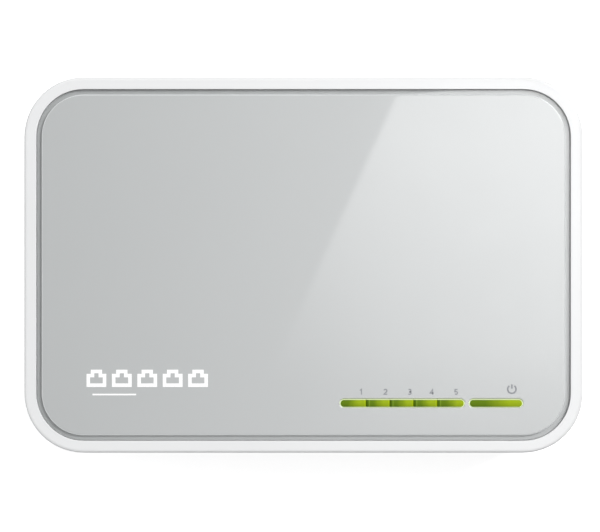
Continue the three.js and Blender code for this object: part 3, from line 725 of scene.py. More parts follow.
def make_lower_case():
    edge, rim_edge = 2.0, 0.1
    lip, lip_top = 1.1, 9.0
    profile = arc(edge, BASE + edge, edge, 270, 180, 8)
    profile += arc(rim_edge, TRAY_TOP - rim_edge, rim_edge, 180, 90, 2)
    profile += [(lip, TRAY_TOP), (lip, lip_top - 0.1), (lip + 0.1, lip_top), (WALL - 0.1, lip_top)]
    profile += [(WALL, lip_top - 0.1), (WALL, FLOOR)]
    case = new_object("lower_case_tray", offset_loft(body_outline(), profile))
    root = FLOOR - 0.4
    for side in BOTH:
        fuse(
            case,
            pillar(side, CASE_SCREW, 3.25, (root, 6)),
            pillar(side, DOWEL, 2.5, (root, BOARD_LOW.z)),
            pillar(side, DOWEL, 1.2, (FLOOR, 8)),
            pillar(side, BOARD_SCREW, 2.5, (root, BOARD_LOW.z)),
            snap_hook(side),
        )
    cut(case, socket_window())
    for corner in CORNERS:
        foot = middle(f"rubber_foot_{corner}")
        cut(case, rod("z", (foot.x, foot.y), 4.6, (0, 1.8), 48))
    low, high = box_mm("rating_label")
    x, y = (low.x - 0.4, high.x + 0.4), (low.y - 0.4, high.y + 0.4)
    cut(case, slab(x, y, (0, high.z), radius=1.6))
    for side in BOTH:
        cut(
            case,
            pillar(side, CASE_SCREW, 2.6, (0, 4.4)),
            pillar(side, CASE_SCREW, 1.45, (0, 7), 24),
            pillar(side, BOARD_SCREW, 1.35, (3, 7), 24),
            keyhole(side),
        )
        y = sorted((side * BASE_VENT["front"], side * BASE_VENT["rear"]))
        for x in row(BASE_VENT):
            slot = about(x, BASE_VENT["width"])
            cut(case, slab(slot, y, (0, FLOOR + 0.5), radius=0.79, steps=5))
    add_piece(case, BASE_WHITE, "case_white", "lower_case", bevel=0.1, above=60)


def make_top_panel():
    start, step, edge, lead = RIM + 0.1, RIM + 0.95, 0.25, 0.1
    flange, fillet, small = RECESS + 0.3, 0.06, 0.03
    profile = [(start, RECESS), (start, flange - small), (start + small, flange)]
    profile += arc(step - fillet, flange + fillet, fillet, 270, 360, 4)
    profile += arc(step + edge, PANEL_TOP - edge, edge, 180, 90, 8)
    panel = new_object("top_panel_plate", offset_loft(body_outline(18), profile))
    for span in (ROW_SPAN, LIGHT_SPANS["power"]):
        steps = [(-SLOT_GAP, RECESS - 0.5), (-SLOT_GAP, PANEL_TOP - lead)]
        steps += [(-SLOT_GAP - lead, PANEL_TOP), (-SLOT_GAP - 3 * lead, PANEL_TOP + 2 * lead)]
        cut(panel, offset_loft(window_outline(span, True, True, 14), steps))
    add_piece(panel, PANEL_GREY, "panel_grey", "top_panel", sharp=50)


# ------------ lights
def make_light_pipe(name, pill, round_left=True, round_right=True):
    """A clear guide whose head nearly fills the panel's slot, on a square neck."""
    node = f"{name}_light_pipe"
    low, high = box_mm(node)
    span = LIGHT_SPANS[name]
    grow, edge = 0.11, 0.14
    profile = [(-grow, RECESS), (-grow, high.z - edge)]
    profile += [(edge - grow, high.z - 0.02), (edge - grow + 0.05, high.z)]
    head = offset_loft(window_outline(span, round_left, round_right), profile)
    neck = (about(sum(span) / 2, NECK_WIDTH), about(LIGHT_Y, LIGHT_HEIGHT - 0.02))
    pipe = fuse(new_object(f"{name}_window", head), slab(*neck, (low.z, RECESS + 0.3)))
    material = make_light_green(f"{name}_green", span, pill, not round_left)
    add_piece(pipe, material, "lens_green", node, sharp=50)


def make_light_emitter(name):
    """A surface-mount light: a ceramic base and a clear resin lens."""
    node = f"{name}_led"
    low, high = box_mm(node)
    c = (low + high) / 2
    step = low.z + 0.4
    base = new_object(f"{node}_base", node_slab(node, high_z=step))
    add_piece(base, CARRIER_BLACK, "chip_black", node, bevel=0.05)
    lens = slab(about(c.x, 1.2), about(c.y, 1.2), (step, high.z), radius=0.2, edge=0.12)
    add_piece(new_object(f"{node}_lens", lens), EMITTER, "led_emitter", node)


def make_light_holder():
    node = "light_pipe_holder"
    low, high = box_mm(node)
    block = new_object("light_pipe_block", node_slab(node))
    cut(block, *light_shafts((low.z - 1, high.z + 1)))
    add_piece(block, HOLDER_BLACK, "holder_black", node, bevel=0.12)


# ------------ prints on the panel
INK_Z = (PANEL_TOP, PANEL_TOP + 0.02)
NUMERAL_X = (10.6, 15.2, 19.7, 23.8, 28.3)


def strip(path, width, z, closed=False):
    """A flat printed line of the given width along a plan path, with mitred corners."""
    points = [Vector(p) for p in path]
    n = len(points)
    runs = [(points[(k + 1) % n] - p).normalized() for k, p in enumerate(points)]
    sides = []
    for k, p in enumerate(points):
        before = runs[k - 1] if closed or k else runs[0]
        after = runs[k] if closed or k < n - 1 else runs[k - 1]
        normals = [Vector((run.y, -run.x)) for run in (before, after)]
        mitre = (normals[0] + normals[1]).normalized()
        reach = min(width / 2 / max(mitre.dot(normals[0]), 0.1), width)
        sides.append((p + mitre * reach, p - mitre * reach))
    bm = bmesh.new()
    quads = [[bm.verts.new((v.x, v.y, h)) for v in pair for h in z] for pair in sides]
    joins = zip(quads, quads[1:] + quads[:1]) if closed else zip(quads, quads[1:])
    for a, b in joins:
        for i, j in ((0, 1), (1, 3), (3, 2), (2, 0)):
            bm.faces.new((a[i], a[j], b[j], b[i]))
    if not closed:
        bm.faces.new([quads[0][i] for i in (0, 1, 3, 2)])
        bm.faces.new([quads[-1][i] for i in (0, 2, 3, 1)])
    return bm


NUMERALS = {  # each stroke's points in a box one high
    "1": [[(0.02, 0.74), (0.3, 0.98), (0.3, 0)]],
    "2": [[*arc(0.3, 0.69, 0.27, 165, -40, 9), (0.04, 0.07), (0.64, 0.07)]],
    "3": [[*arc(0.3, 0.73, 0.22, 150, -90, 9), *arc(0.3, 0.28, 0.235, 90, -150, 9)]],
    "4": [[(0.72, 0.29), (0.04, 0.29), (0.5, 0.95), (0.5, 0)]],
    "5": [[(0.58, 0.93), (0.14, 0.93), (0.1, 0.53), *arc(0.3, 0.31, 0.25, 115, -145, 10)]],
}


def make_numeral(text, x, y, height):
    """One digit drawn in ink strokes, centred on (x, y)."""
    strokes = NUMERALS[text]
    across = [px for stroke in strokes for px, _ in stroke]
    left = x - height * (min(across) + max(across)) / 2
    bm = bmesh.new()
    for stroke in strokes:
        path = [(left + height * px, y + height * (py - 0.5)) for px, py in stroke]
        made = strip(path, 0.2 * height, INK_Z)
        mesh = bpy.data.meshes.new("stroke")
        made.to_mesh(mesh)
        made.free()
        bm.from_mesh(mesh)
        bpy.data.meshes.remove(mesh)
    add_piece(new_object(f"numeral_{text}", bm), PRINT_GREY, "print_grey")


def make_power_symbol(x, y, diameter):
    """The plain power sign: an open ring with an upright line in its gap."""
    r, gap, width = diameter / 2 * 0.86, 38, 0.28
    ring = arc(x, y, r, 90 + gap, 450 - gap, 32)
    line = [(x, y + 0.1 * r), (x, y + 1.15 * r)]
    for name, path in (("ring", ring), ("line", line)):
        sign = new_object(f"power_sign_{name}", strip(path, width, INK_Z))
        add_piece(sign, PRINT_GREY, "print_grey")


def make_generic_mark(left, right, low, high):
    """A row of plain socket pictograms over a short rule."""
    count, line, filled = 5, 0.66, 0.78
    pitch = (right - left) / (count - 1 + filled)
    y0, y1 = low + line / 2, high - line / 2
    for k in range(count):
        x0 = left + k * pitch + line / 2
        x1 = x0 + pitch * filled - line
        notch, step = (x1 - x0) * 0.26, (y1 - y0) * 0.3
        path = [(x0, y0), (x1, y0), (x1, y1 - step), (x1 - notch, y1 - step), (x1 - notch, y1)]
        path += [(x0 + notch, y1), (x0 + notch, y1 - step), (x0, y1 - step)]
        sign = new_object(f"socket_pictogram_{k + 1}", strip(path, line, INK_Z, closed=True))
        add_piece(sign, PRINT_WHITE, "print_white")
    rule = new_object("mark_rule", strip([(-39.1, -24.0), (-31.0, -24.0)], 0.3, INK_Z))
    add_piece(rule, PRINT_WHITE, "print_white")


def make_prints():
    for i, x in zip(PORTS, NUMERAL_X):
        make_numeral(str(i), x, LIGHT_Y + 2.1, 1.04)
    make_power_symbol(38.6, LIGHT_Y + 2.6, 1.8)
    make_generic_mark(-40.2, -17.7, -22.6, -19.4)


# ------------ feet, screws, label
def make_foot(corner):
    node = f"rubber_foot_{corner}"
    low, high = box_mm(node)
    c = (low + high) / 2
    r, edge, dish = (high.x - low.x) / 2, 0.45, 0.12
    profile = [(0, dish), (r * 0.5, dish), (r * 0.56, 0)]
    profile += arc(r - edge, edge, edge, 270, 360, 6)
    profile += [(r, high.z - 0.1), (r - 0.1, high.z), (0, high.z)]
    foot = new_object(f"foot_{corner}", lathe(profile, c.x, c.y, 48))
    add_piece(foot, RUBBER, "foot_rubber", node, sharp=50)


def threads(radius, low, high, pitch=0.55, depth=0.16):
    """The ridged part of a screw's profile, from low to high."""
    points = []
    turns = int(abs(high - low) / pitch)
    step = (high - low) / turns
    for k in range(turns):
        z = low + k * step
        points += [(radius - depth, z + step * 0.1), (radius, z + step * 0.45)]
        points += [(radius, z + step * 0.6), (radius - depth, z + step * 0.95)]
    return points


def add_screw(node, profile, recess_z, arm):
    """A turned screw with a cross recess in its head."""
    c, width = middle(node), 0.45
    screw = new_object(f"{node}_turned", lathe(profile, c.x, c.y, 28))
    for size_x, size_y in ((2 * arm, width), (width, 2 * arm)):
        cut(screw, slab(about(c.x, size_x), about(c.y, size_y), recess_z))
    add_piece(screw, STEEL, "screw_steel", node, sharp=40)


def make_case_screw(side):
    node = f"case_screw_{side}"
    low, high = box_mm(node)
    head, head_top, dome = (high.x - low.x) / 2, low.z + 1.9, 0.7
    profile = [(0, low.z), (head - dome, low.z)]
    profile += arc(head - dome, low.z + dome, dome, 270, 360, 5)[1:]
    profile += [(head, head_top), (1.3, head_top)]
    profile += threads(1.3, head_top + 0.3, high.z - 1) + [(0.9, high.z - 0.8), (0, high.z)]
    add_screw(node, profile, (low.z - 1, low.z + 1), 1.3)


def make_board_screw(side):
    node = f"board_screw_{side}"
    low, high = box_mm(node)
    head, dome = (high.x - low.x) / 2, 0.6
    profile = [(0, low.z), (0.8, low.z + 0.6)] + threads(1.2, low.z + 0.6, BOARD_TOP - 0.1)
    profile += [(head, BOARD_TOP), (head, high.z - dome)]
    profile += arc(head - dome, high.z - dome, dome, 0, 90, 5)[1:] + [(0, high.z)]
    add_screw(node, profile, (high.z - 0.9, high.z + 1), 1.4)


def make_label():
    film = node_slab("rating_label", radius=1.5, edge=0.05, steps=8)
    add_piece(new_object("rating_label_film", film), LABEL_FILM, "label_grey", "rating_label")


# ------------ network sockets
CAVITY_Z = (10.1, 16.7)
CAVITY_WIDTH = 11.9
LATCH_STEPS = ((6.3, 8.9, 10.1), (3.4, 7.7, 8.9))  # width, bottom and top of each
WALL_Y = (20.8, 21.8)  # the wall between the cavities and the carriers
CHANNEL_TOP = 18.2
CHANNEL_WIDTH = 8.7
MOUTH_LEAD = 0.35


def make_port_housing():
    node = "port_housing"
    low, high = box_mm(node)
    housing = new_object("port_housing_block", node_slab(node))
    cavity_low, cavity_top = CAVITY_Z
    mouth = (WALL_Y[1], high.y + 1)
    for x in PORT_X.values():
        cut(housing, slab(about(x, CAVITY_WIDTH), mouth, CAVITY_Z))
        for width, z0, z1 in LATCH_STEPS:
            cut(housing, slab(about(x, width), mouth, (z0, z1 + 0.01)))
        channel = about(x, CHANNEL_WIDTH)
        cut(
            housing,
            # room over the cavity for the bent wires, a gap over the inner wall, and the rear bay
            slab(channel, (WALL_Y[1], 33.3), (cavity_top - 0.5, CHANNEL_TOP)),
            slab(channel, (WALL_Y[0] - 1, WALL_Y[1] + 1), (17.8, CHANNEL_TOP)),
            slab(about(x, 10.8), (low.y - 1, WALL_Y[0]), (low.z - 1, CHANNEL_TOP)),
        )
        rings = []
        for y, lead in ((high.y - MOUTH_LEAD, 0), (high.y + 0.001, MOUTH_LEAD)):
            left, right = about(x, CAVITY_WIDTH + 2 * lead)
            top = cavity_top + lead
            ring = [(left, cavity_low), (left, top), (right, top), (right, cavity_low)]
            rings.append([(px, y, z) for px, z in ring])
        cut(housing, loft(rings))
    for side in (low.x, high.x):
        cut(housing, slab(about(side, 0.6), (high.y - 1.8, high.y - 1.2), (low.z - 1, high.z + 1)))
    add_piece(housing, SOCKET_BLACK, "socket_black", node, bevel=0.08)


CONTACTS = 8
CONTACT_PITCH = 1.02
TAIL_PITCH = 1.27
TAIL_ROWS = (16.6, 19.1)
WIRE = slab_section(0.2, 0.15)
BEND = Vector((0, 32.8, 17.4))  # where the wires turn back, on their hinge


def wire_places(i):
    """The X of each of one socket's wires."""
    return [PORT_X[i] + (k - (CONTACTS - 1) / 2) * CONTACT_PITCH for k in range(CONTACTS)]


def tail_places(i):
    """The X and Y of each of one socket's solder tails, which stand in two rows."""
    places = []
    for k in range(CONTACTS):
        places.append((PORT_X[i] + (k - (CONTACTS - 1) / 2) * TAIL_PITCH, TAIL_ROWS[k % 2]))
    return places


def make_carrier(i):
    """The moulded insert at the back of one socket, with its solder tails."""
    node = f"port_{i}_carrier"
    low, _ = box_mm(node)
    block = new_object(f"{node}_block", node_slab(node, low_z=BOARD_TOP + 0.1))
    for x in wire_places(i):
        cut(block, slab(about(x, 0.5), (low.y - 1, low.y + 0.3), (8.5, 15.5)))
    add_piece(block, CARRIER_BLACK, "socket_black", node, bevel=0.1)
    tails = bmesh.new()
    for x, y in tail_places(i):
        slab(about(x, 0.5), about(y, 0.5), (low.z, BOARD_TOP + 0.3), edge=0.08, bm=tails)
    add_piece(new_object(f"{node}_tails", tails), GOLD, "contact_gold", node)


def make_wire_runs(i):
    """The fixed wires along the top of one socket and the moulded strip that ties them."""
    node = f"port_{i}_wire_runs"
    low, high = box_mm(node)
    front, z = WALL_Y[0] - 0.2, high.z - 0.15
    tie = slab((low.x, high.x), (low.y, front), (low.z, high.z - 0.05), edge=0.1)
    add_piece(new_object(f"{node}_tie", tie), CARRIER_BLACK, "socket_black", node)
    wires = bmesh.new()
    for x in wire_places(i):
        sweep([(x, front - 0.3, z), (x, high.y, z)], WIRE, wires)
    add_piece(new_object(f"{node}_wires", wires), GOLD, "contact_gold", node)


def make_contacts(i):
    """The sprung ends of one socket's wires on their moulded strip."""
    node = f"port_{i}_contacts"
    wires = bmesh.new()
    for x in wire_places(i):
        # down from the bend to where a plug would touch, and up again at the tip
        path = [(x, BEND.y, BEND.z), (x, 28.4, 15.55), (x, 23.6, 13.72), (x, 22.98, 13.88)]
        sweep(smooth_path(path, 0.5), WIRE, wires)
    add_piece(new_object(f"{node}_wires", wires), GOLD, "contact_gold", node, node)
    bar = slab(about(PORT_X[i], 8.2), about(BEND.y, 0.6), about(BEND.z, 0.5), edge=0.1)
    add_piece(new_object(f"{node}_strip", bar), CARRIER_BLACK, "socket_black", node, node)


# ------------ power socket
def make_power_socket():
    low, high = JACK_LOW, JACK_HIGH
    front, bore, mouth, sides = 32.6, 3.15, 3.5, 56
    body = slab((low.x, high.x), (low.y, front), (low.z, high.z))
    body = new_object("power_socket_shell", body)
    fuse(body, rod("y", JACK, 4.0, (front - 1, high.y), sides))
    flare = []
    for y, r in ((high.y - 0.4, bore), (high.y + 0.02, mouth)):
        flare.append([(u, y, v) for u, v in circle(*JACK, r, sides)])
    cut(
        body,
        rod("y", JACK, bore, (25, high.y + 1), sides),
        loft(flare),
        rod("y", JACK, 1.35, (low.y - 1, 26)),
        slab(about(JACK_X, 3), (low.y - 1, 22.4), (low.z - 1, JACK_Z + 1.4)),
        slab(about(JACK_X, 2.8), (24.4, 32.1), (low.z - 1, JACK_Z - 2)),
    )
    add_piece(body, SOCKET_BLACK, "socket_black", "power_socket_body", bevel=0.15, above=60)


def make_power_pin():
    node = "power_socket_pin"
    low, high = box_mm(node)
    r, back = 1.05, 21.5
    profile = [(0, back), (r, back), (r, high.y - 0.5), (r - 0.15, high.y - 0.2)]
    profile += [(r - 0.45, high.y), (0, high.y)]
    bm = lathe(profile, sides=32)
    bmesh.ops.rotate(bm, matrix=Matrix.Rotation(-math.pi / 2, 3, "X"), verts=bm.verts)
    bmesh.ops.translate(bm, vec=(JACK_X, 0, JACK_Z), verts=bm.verts)
    tab = slab(about(JACK_X, 2.4), about(21.6, 0.6), (low.z, JACK_Z + 1.1), edge=0.08)
    add_piece(fuse(new_object(f"{node}_turned", bm), tab), TIN, "tin_plate", node)


def make_power_leaf():
    node = "power_socket_leaf"
    half_width, half_depth = 1.1, 0.12
    section = slab_section(half_width, half_depth)
    path = [(JACK_X, 25.35, 8.1), (JACK_X, 30.4, 10.55), (JACK_X, 31.35, 9.75)]
    leaf = new_object(f"{node}_strip", sweep(smooth_path(path, 0.6), section))
    add_piece(leaf, TIN, "tin_plate", node, node, bevel=0.04)
    root = new_object("power_socket_terminal_blade", node_slab("power_socket_terminal", edge=0.08))
    add_piece(root, TIN, "tin_plate", "power_socket_terminal")


# ------------ circuit board and its parts
def make_board():
    through = (BOARD_LOW.z - 1, BOARD_HIGH.z + 1)
    board = new_object("circuit_board_panel", node_slab("circuit_board", radius=6, steps=10))
    for side in BOTH:
        for place, radius, sides in ((CASE_SCREW, 4, 40), (BOARD_SCREW, 1.6, 28), (DOWEL, 1.4, 28)):
            cut(board, pillar(side, place, radius, through, sides))
    tails = bmesh.new()
    for i in PORTS:
        for place in tail_places(i):
            rod("z", place, 0.45, through, 14, tails)
    for y in (21.6, 25.5):
        slab(about(JACK_X, 3), about(y, 1.2), through, radius=0.5, steps=4, bm=tails)
    cut(board, tails)
    add_piece(board, BOARD_GREEN, "board_green", "circuit_board")


def make_solder():
    """Small cones of solder under the board, round each tail."""
    z, wide, hole = BOARD_LOW.z, 0.72, 0.30
    profile = [(hole, z), (wide, z), (wide * 0.9, z - 0.12), (wide * 0.62, z - 0.4)]
    profile += [(0.36, z - 0.95), (hole, z - 0.95)]
    bm = bmesh.new()
    for i in PORTS:
        for x, y in tail_places(i):
            closed_ring(profile, x, y, 14, bm)
    add_piece(new_object("solder_joints", bm), TIN, "tin_plate", sharp=60)


def gull_leg(bm, x, y, side, reach, height, width):
    """A bent leg from a package's side down to the board."""
    thickness = 0.18
    knee = x + side * reach * 0.4
    base = BOARD_TOP + thickness / 2
    path = [(x - side * 0.3, y, height), (knee, y, height), (knee, y, base)]
    path.append((x + side * reach, y, base))
    section = slab_section(width / 2, thickness / 2)
    sweep(smooth_path(path, 0.25, 3), section, bm, side=Vector((0, 1, 0)))


def make_package(node, depth, width, top, legs, pitch, leg_width, mark_radius):
    """A moulded package with draft on its sides, a pin-one dimple and bent legs."""
    low, high = box_mm(node)
    c = (low + high) / 2
    draft = 0.18

    def outline(inset):
        x, y = about(c.x, width - 2 * inset), about(c.y, depth - 2 * inset)
        return [(x[0], y[0]), (x[1], y[0]), (x[1], y[1]), (x[0], y[1])]

    stand, waist = BOARD_TOP + 0.15, (BOARD_TOP + top) / 2
    body = offset_loft(outline, [(draft, stand), (0, waist), (draft, top)])
    place = (c.x - width / 2 + 2.4 * mark_radius, c.y + depth / 2 - 2.4 * mark_radius)
    dimple = rod("z", place, mark_radius, (top - 0.08, top + 1), 20)
    body = cut(new_object(f"{node}_body", body), dimple)
    add_piece(body, CHIP_BLACK, "chip_black", node, bevel=0.06, above=40)
    leads = bmesh.new()
    reach = (high.x - low.x - width) / 2
    for side in BOTH:
        for k in range(legs):
            y = c.y + (k - (legs - 1) / 2) * pitch
            gull_leg(leads, c.x + side * (width / 2 - 0.02), y, side, reach, waist, leg_width)
    add_piece(new_object(f"{node}_legs", leads), TIN, "tin_plate", node)


def make_switch_chip():
    node = "switch_chip"
    low, high = box_mm(node)
    c = (low + high) / 2
    body = new_object(f"{node}_body", node_slab(node, low_z=low.z + 0.05, edge=0.05))
    cut(body, rod("z", (low.x + 1.2, high.y - 1.2), 0.35, (high.z - 0.06, high.z + 1), 20))
    add_piece(body, CHIP_BLACK, "chip_black", node)
    pads, count, pitch, z = bmesh.new(), 16, 0.5, (low.z, low.z + 0.2)
    for side in BOTH:
        edge = side * ((high.x - low.x) / 2 - 0.17)
        for k in range(count):
            t = (k - (count - 1) / 2) * pitch
            slab(about(c.x + edge, 0.38), about(c.y + t, 0.25), z, bm=pads)
            slab(about(c.x + t, 0.25), about(c.y + edge, 0.38), z, bm=pads)
    add_piece(new_object(f"{node}_pads", pads), TIN, "tin_plate", node)


def make_crystal():
    node = "crystal"
    low, high = box_mm(node)
    c = (low + high) / 2
    step = low.z + 0.6
    base = new_object("crystal_base", node_slab(node, high_z=step, radius=0.6, edge=0.1))
    add_piece(base, CARRIER_BLACK, "chip_black", node)
    can = slab(about(c.x, 10.4), about(c.y, 3.8), (step, high.z), radius=1.88, edge=0.35, steps=8)
    brim = {"radius": 2.1, "edge": 0.08, "steps": 8}
    slab(about(c.x, 11.0), about(c.y, 4.4), (step - 0.02, step + 0.25), **brim, bm=can)
    add_piece(new_object("crystal_can", can), CAN, "can_metal", node)


def make_capacitor(node):
    low, high = box_mm(node)
    c = (low + high) / 2
    step, top = low.z + 0.9, high.z - 0.08
    base = new_object(f"{node}_base", node_slab(node, high_z=step, radius=0.5, edge=0.1))
    add_piece(base, CARRIER_BLACK, "chip_black", node)
    r, edge = 3.15, 0.45
    profile = [(0, step), (r, step), (r, low.z + 1.45)]
    profile += arc(r + 0.1, low.z + 1.8, 0.36, 250, 110, 6)
    profile += [(r, low.z + 2.15), (r, high.z - edge)]
    profile += arc(r - edge, high.z - edge, edge, 0, 90, 5)[1:]
    profile += [(r - 0.6, top), (0, top)]
    can = new_object(f"{node}_can", lathe(profile, c.x, c.y, 44))
    for size_x, size_y in ((3.6, 0.16), (0.16, 3.6)):
        cut(can, slab(about(c.x, size_x), about(c.y, size_y), (high.z - 0.2, high.z + 1)))
    add_piece(can, CAN, "can_metal", node, sharp=45)
    band = strip(arc(c.x, c.y, 2.1, 150, 210, 12), 0.9, (top, top + 0.02))
    add_piece(new_object(f"{node}_band", band), HOLDER_BLACK, "holder_black")


def make_inductor():
    node = "power_inductor"
    low, high = box_mm(node)
    c = (low + high) / 2
    core = new_object(f"{node}_core", node_slab(node, radius=1.2, edge=0.15))
    cut(core, rod("z", (c.x, c.y), 2.3, (high.z - 0.5, high.z + 1), 40))
    fuse(core, rod("z", (c.x, c.y), 1.5, (high.z - 0.7, high.z - 0.08), 40))
    add_piece(core, FERRITE, "ferrite_grey", node, bevel=0.06)
    coil, half = bmesh.new(), 0.07
    for k in range(4):
        r = 1.66 + 0.17 * k
        profile = [(r - half, high.z - 0.49), (r + half, high.z - 0.49)]
        profile += [(r + half, high.z - 0.3), (r, high.z - 0.24), (r - half, high.z - 0.3)]
        closed_ring(profile, c.x, c.y, 40, coil)
    add_piece(new_object(f"{node}_winding", coil), COPPER, "contact_gold", node, sharp=60)


def make_diode():
    node = "input_diode"
    low, high = box_mm(node)
    c = (low + high) / 2
    body = new_object(f"{node}_body", slab((low.x, high.x), about(c.y, 4.3), (low.z + 0.1, high.z)))
    add_piece(body, CHIP_BLACK, "chip_black", node, bevel=0.15)
    ends = bmesh.new()
    for side in BOTH:
        for near, far, height in ((1.6, 2.6, 0.22), (2.14, 2.34, 1.2)):
            y = sorted((c.y + side * near, c.y + side * far))
            slab(about(c.x, 1.9), y, (low.z, low.z + height), edge=0.05, bm=ends)
    add_piece(new_object(f"{node}_ends", ends), TIN, "tin_plate", node)
    stripe = slab(about(c.x, 2.3), about(c.y + 1.5, 0.5), (high.z, high.z + 0.02))
    add_piece(new_object(f"{node}_stripe", stripe), PRINT_GREY, "print_grey")


def make_small_parts():
    """Chip resistors and capacitors in tidy rows near what they serve."""
    chip = middle("switch_chip")
    four = (-3, -1, 1, 3)
    places = []  # x, y, and whether the part lies along X
    for i in PORTS:
        places += [(PORT_X[i] + d, -1.6, False) for d in four]
        places.append((middle(f"port_{i}_led").x - 0.2, LIGHT_Y + 3.4, True))
    places += [(chip.x + side * 7.2, chip.y + d, True) for side in BOTH for d in four]
    places += [(chip.x + d, chip.y - 7, False) for d in (-4, -2, 0, 2, 4)]
    bodies, ends = bmesh.new(), bmesh.new()
    length, width, height, cap = 1.6, 0.8, 0.5, 0.3
    for x, y, along_x in places:
        for part in (-1, 0, 1):
            shift = part * (length - cap) / 2
            size, skin = (cap, 0) if part else (length - 2 * cap, 0.02)
            z = (BOARD_TOP + skin, BOARD_TOP + height - skin)
            bm, edge = (ends, 0.05) if part else (bodies, 0)
            if along_x:
                slab(about(x + shift, size), about(y, width), z, edge=edge, bm=bm)
            else:
                slab(about(x, width), about(y + shift, size), z, edge=edge, bm=bm)
    add_piece(new_object("chip_part_bodies", bodies), CERAMIC, "chip_black")
    add_piece(new_object("chip_part_ends", ends), TIN, "tin_plate")


# ------------ camera, lights, floor
def make_camera():
    """Straight above the top, far enough for the long lens to frame the whole body."""
    camera = bpy.data.cameras.new("camera")
    camera.type = "PERSP"
    camera.lens = 135
    camera.sensor_width = 36
    view_width = 111.1
    height = view_width * camera.lens / camera.sensor_width
    obj = bpy.data.objects.new("camera", camera)
    obj.location = (-0.65 * MM, -0.19 * MM, (TOP + height) * MM)
    bpy.context.scene.collection.objects.link(obj)
    bpy.context.scene.camera = obj
    return height


def add_area_light(name, location, size, power, in_gloss=True):
    """A soft light aimed at the object, which glossy surfaces may or may not mirror."""
    light = bpy.data.lights.new(name, "AREA")
    light.shape = "RECTANGLE"
    light.size, light.size_y = size
    light.energy = power
    obj = bpy.data.objects.new(name, light)
    obj.location = location
    obj.rotation_euler = (-Vector(location)).to_track_quat("-Z", "Y").to_euler()
    obj.visible_glossy = in_gloss
    bpy.context.scene.collection.objects.link(obj)


def make_world():
    """A soft pale room, brightest overhead."""
    middle_level, swing, brightest = 0.33, 0.272, (-0.35, 0.25, 0.9)
    world = bpy.data.worlds.new("room")
    bpy.context.scene.world = world
    world.use_nodes = True
    tree = Nodes(world.node_tree)
    inputs = {0: tree.add("TexCoord", "Generated"), 1: brightest}
    along = tree.add("VectorMath", "Value", inputs, operation="DOT_PRODUCT")
    strength = tree.spread(along, -middle_level / swing, 1, 0, middle_level + swing)
    background = next(n for n in tree.nodes if n.type == "BACKGROUND")
    tree.feed((1, 1, 1, 1), background.inputs["Color"])
    tree.feed(strength, background.inputs["Strength"])


def add_card(name, half_x, half_y, z, surface, *unseen_by):
    """A flat stage card, in millimetres, that the given kinds of ray pass by."""
    bm = bmesh.new()
    corners = [(-half_x, -half_y), (half_x, -half_y), (half_x, half_y), (-half_x, half_y)]
    bm.faces.new([bm.verts.new((x, y, z)) for x, y in corners])
    card = new_object(name, bm)
    card.data.materials.append(surface.material)
    for ray in unseen_by:
        setattr(card, f"visible_{ray}", False)


def make_floor():
    """Plain paper under the feet, clear from below so that the underside can be seen."""
    glow = {"Emission_Color": (1, 1, 1, 1), "Emission_Strength": 0.52}
    s = Surface("floor_paper", grey(0.93), 0.9, Specular_IOR_Level=0.1, **glow)
    s.tint(s.noise(60), grey(0.925), grey(0.935))
    shaders = {1: s.shader.outputs[0], 2: s.add("BsdfTransparent", 0)}
    one_sided = s.add("MixShader", 0, {0: s.add("NewGeometry", "Backfacing"), **shaders})
    output = next(n for n in s.nodes if n.type == "OUTPUT_MATERIAL")
    s.feed(one_sided, output.inputs["Surface"])
    add_card("floor", STAGE, STAGE, -0.02, s, "glossy", "diffuse", "shadow")


def make_bounce_card():
    """A pale card under the paper, never seen, which sets how much light comes up from below."""
    glow = {"Emission_Color": (1, 1, 1, 1), "Emission_Strength": 0.32}
    s = Surface("bounce_grey", grey(0.4), 1.0, Specular_IOR_Level=0.0, **glow)
    add_card("bounce_card", STAGE, STAGE, -0.3, s, "camera", "glossy")


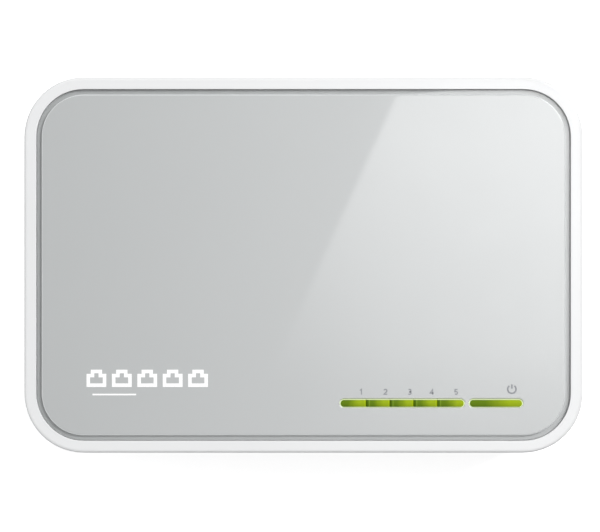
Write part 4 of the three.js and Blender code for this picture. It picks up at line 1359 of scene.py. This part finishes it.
def make_reflection_card(camera_height):
    """A glowing card above the camera, seen only in gloss: a soft ramp with one slanted edge.

    x and y go from -1 to 1 over the part of the card that the panel mirrors to the camera.
    """
    height, spare = 1000.0, 1.6
    reach = 1 + height / camera_height
    glow = {"Emission_Color": (1, 1, 1, 1), "Specular_IOR_Level": 0.0}
    s = Surface("reflection_glow", (0, 0, 0, 1), 1.0, **glow)
    half = HALF_W * reach * MM
    x, y = (s.spread(s.axis(name), -half, half, -1, 1) for name in "XY")
    edge_top, edge_low = Vector((0.338, 0.6)), Vector((0.030, -0.083))
    slope = (edge_top.x - edge_low.x) / (edge_top.y - edge_low.y)
    foot, soft = edge_low.x - edge_low.y * slope, 0.004
    offset = s.math("SUBTRACT", x, s.math("MULTIPLY", y, slope))
    past = s.spread(offset, foot - soft, foot + soft, 0, 1)
    across = s.math("MULTIPLY", s.spread(x, 0, 1, 0, 2.3), s.spread(y, -0.75, -0.3, 0, 1))
    upwards = s.spread(y, -0.42, 0.45, 0, 2.7)
    step = s.math("MULTIPLY", past, s.math("ADD", upwards, across))
    ramp = s.spread(x, -0.95, 0.35, 0.5, 1.6)
    s.set("Emission Strength", s.math("ADD", step, ramp))
    size = (HALF_W * reach * spare, HALF_D * reach * spare)
    unseen_by = ("camera", "diffuse", "shadow", "transmission")
    add_card("reflection_card", *size, TOP + height, s, *unseen_by)


# ------------ build
make_upper_case()
make_lower_case()
make_top_panel()
for i in PORTS:
    make_light_pipe(f"port_{i}", ROW_SPAN, i == PORTS[0], i == PORTS[-1])
    make_light_emitter(f"port_{i}")
make_light_pipe("power", LIGHT_SPANS["power"])
make_light_emitter("power")
make_light_holder()
make_prints()
for corner in CORNERS:
    make_foot(corner)
for side in ("left", "right"):
    make_case_screw(side)
    make_board_screw(side)
make_label()
make_port_housing()
for i in PORTS:
    make_carrier(i)
    make_wire_runs(i)
    make_contacts(i)
    make_package(f"transformer_{i}", 12.7, 7.2, BOARD_TOP + 5.9, 8, 1.27, 0.45, 0.5)
make_package("regulator", 4.9, 3.9, BOARD_TOP + 1.5, 4, 1.27, 0.42, 0.25)
make_power_socket()
make_power_pin()
make_power_leaf()
make_board()
make_solder()
make_switch_chip()
make_crystal()
make_capacitor("input_capacitor")
make_capacitor("output_capacitor")
make_inductor()
make_diode()
make_small_parts()

scene = bpy.context.scene
scene.view_settings.view_transform = "Standard"
make_world()
make_floor()
make_bounce_card()
make_reflection_card(make_camera())
add_area_light("key", (0.5, 0.4, 0.69), (0.42, 0.42), 7.3)
add_area_light("fill", (-0.8, -0.12, 0.3), (0.9, 0.35), 2.15, in_gloss=False)
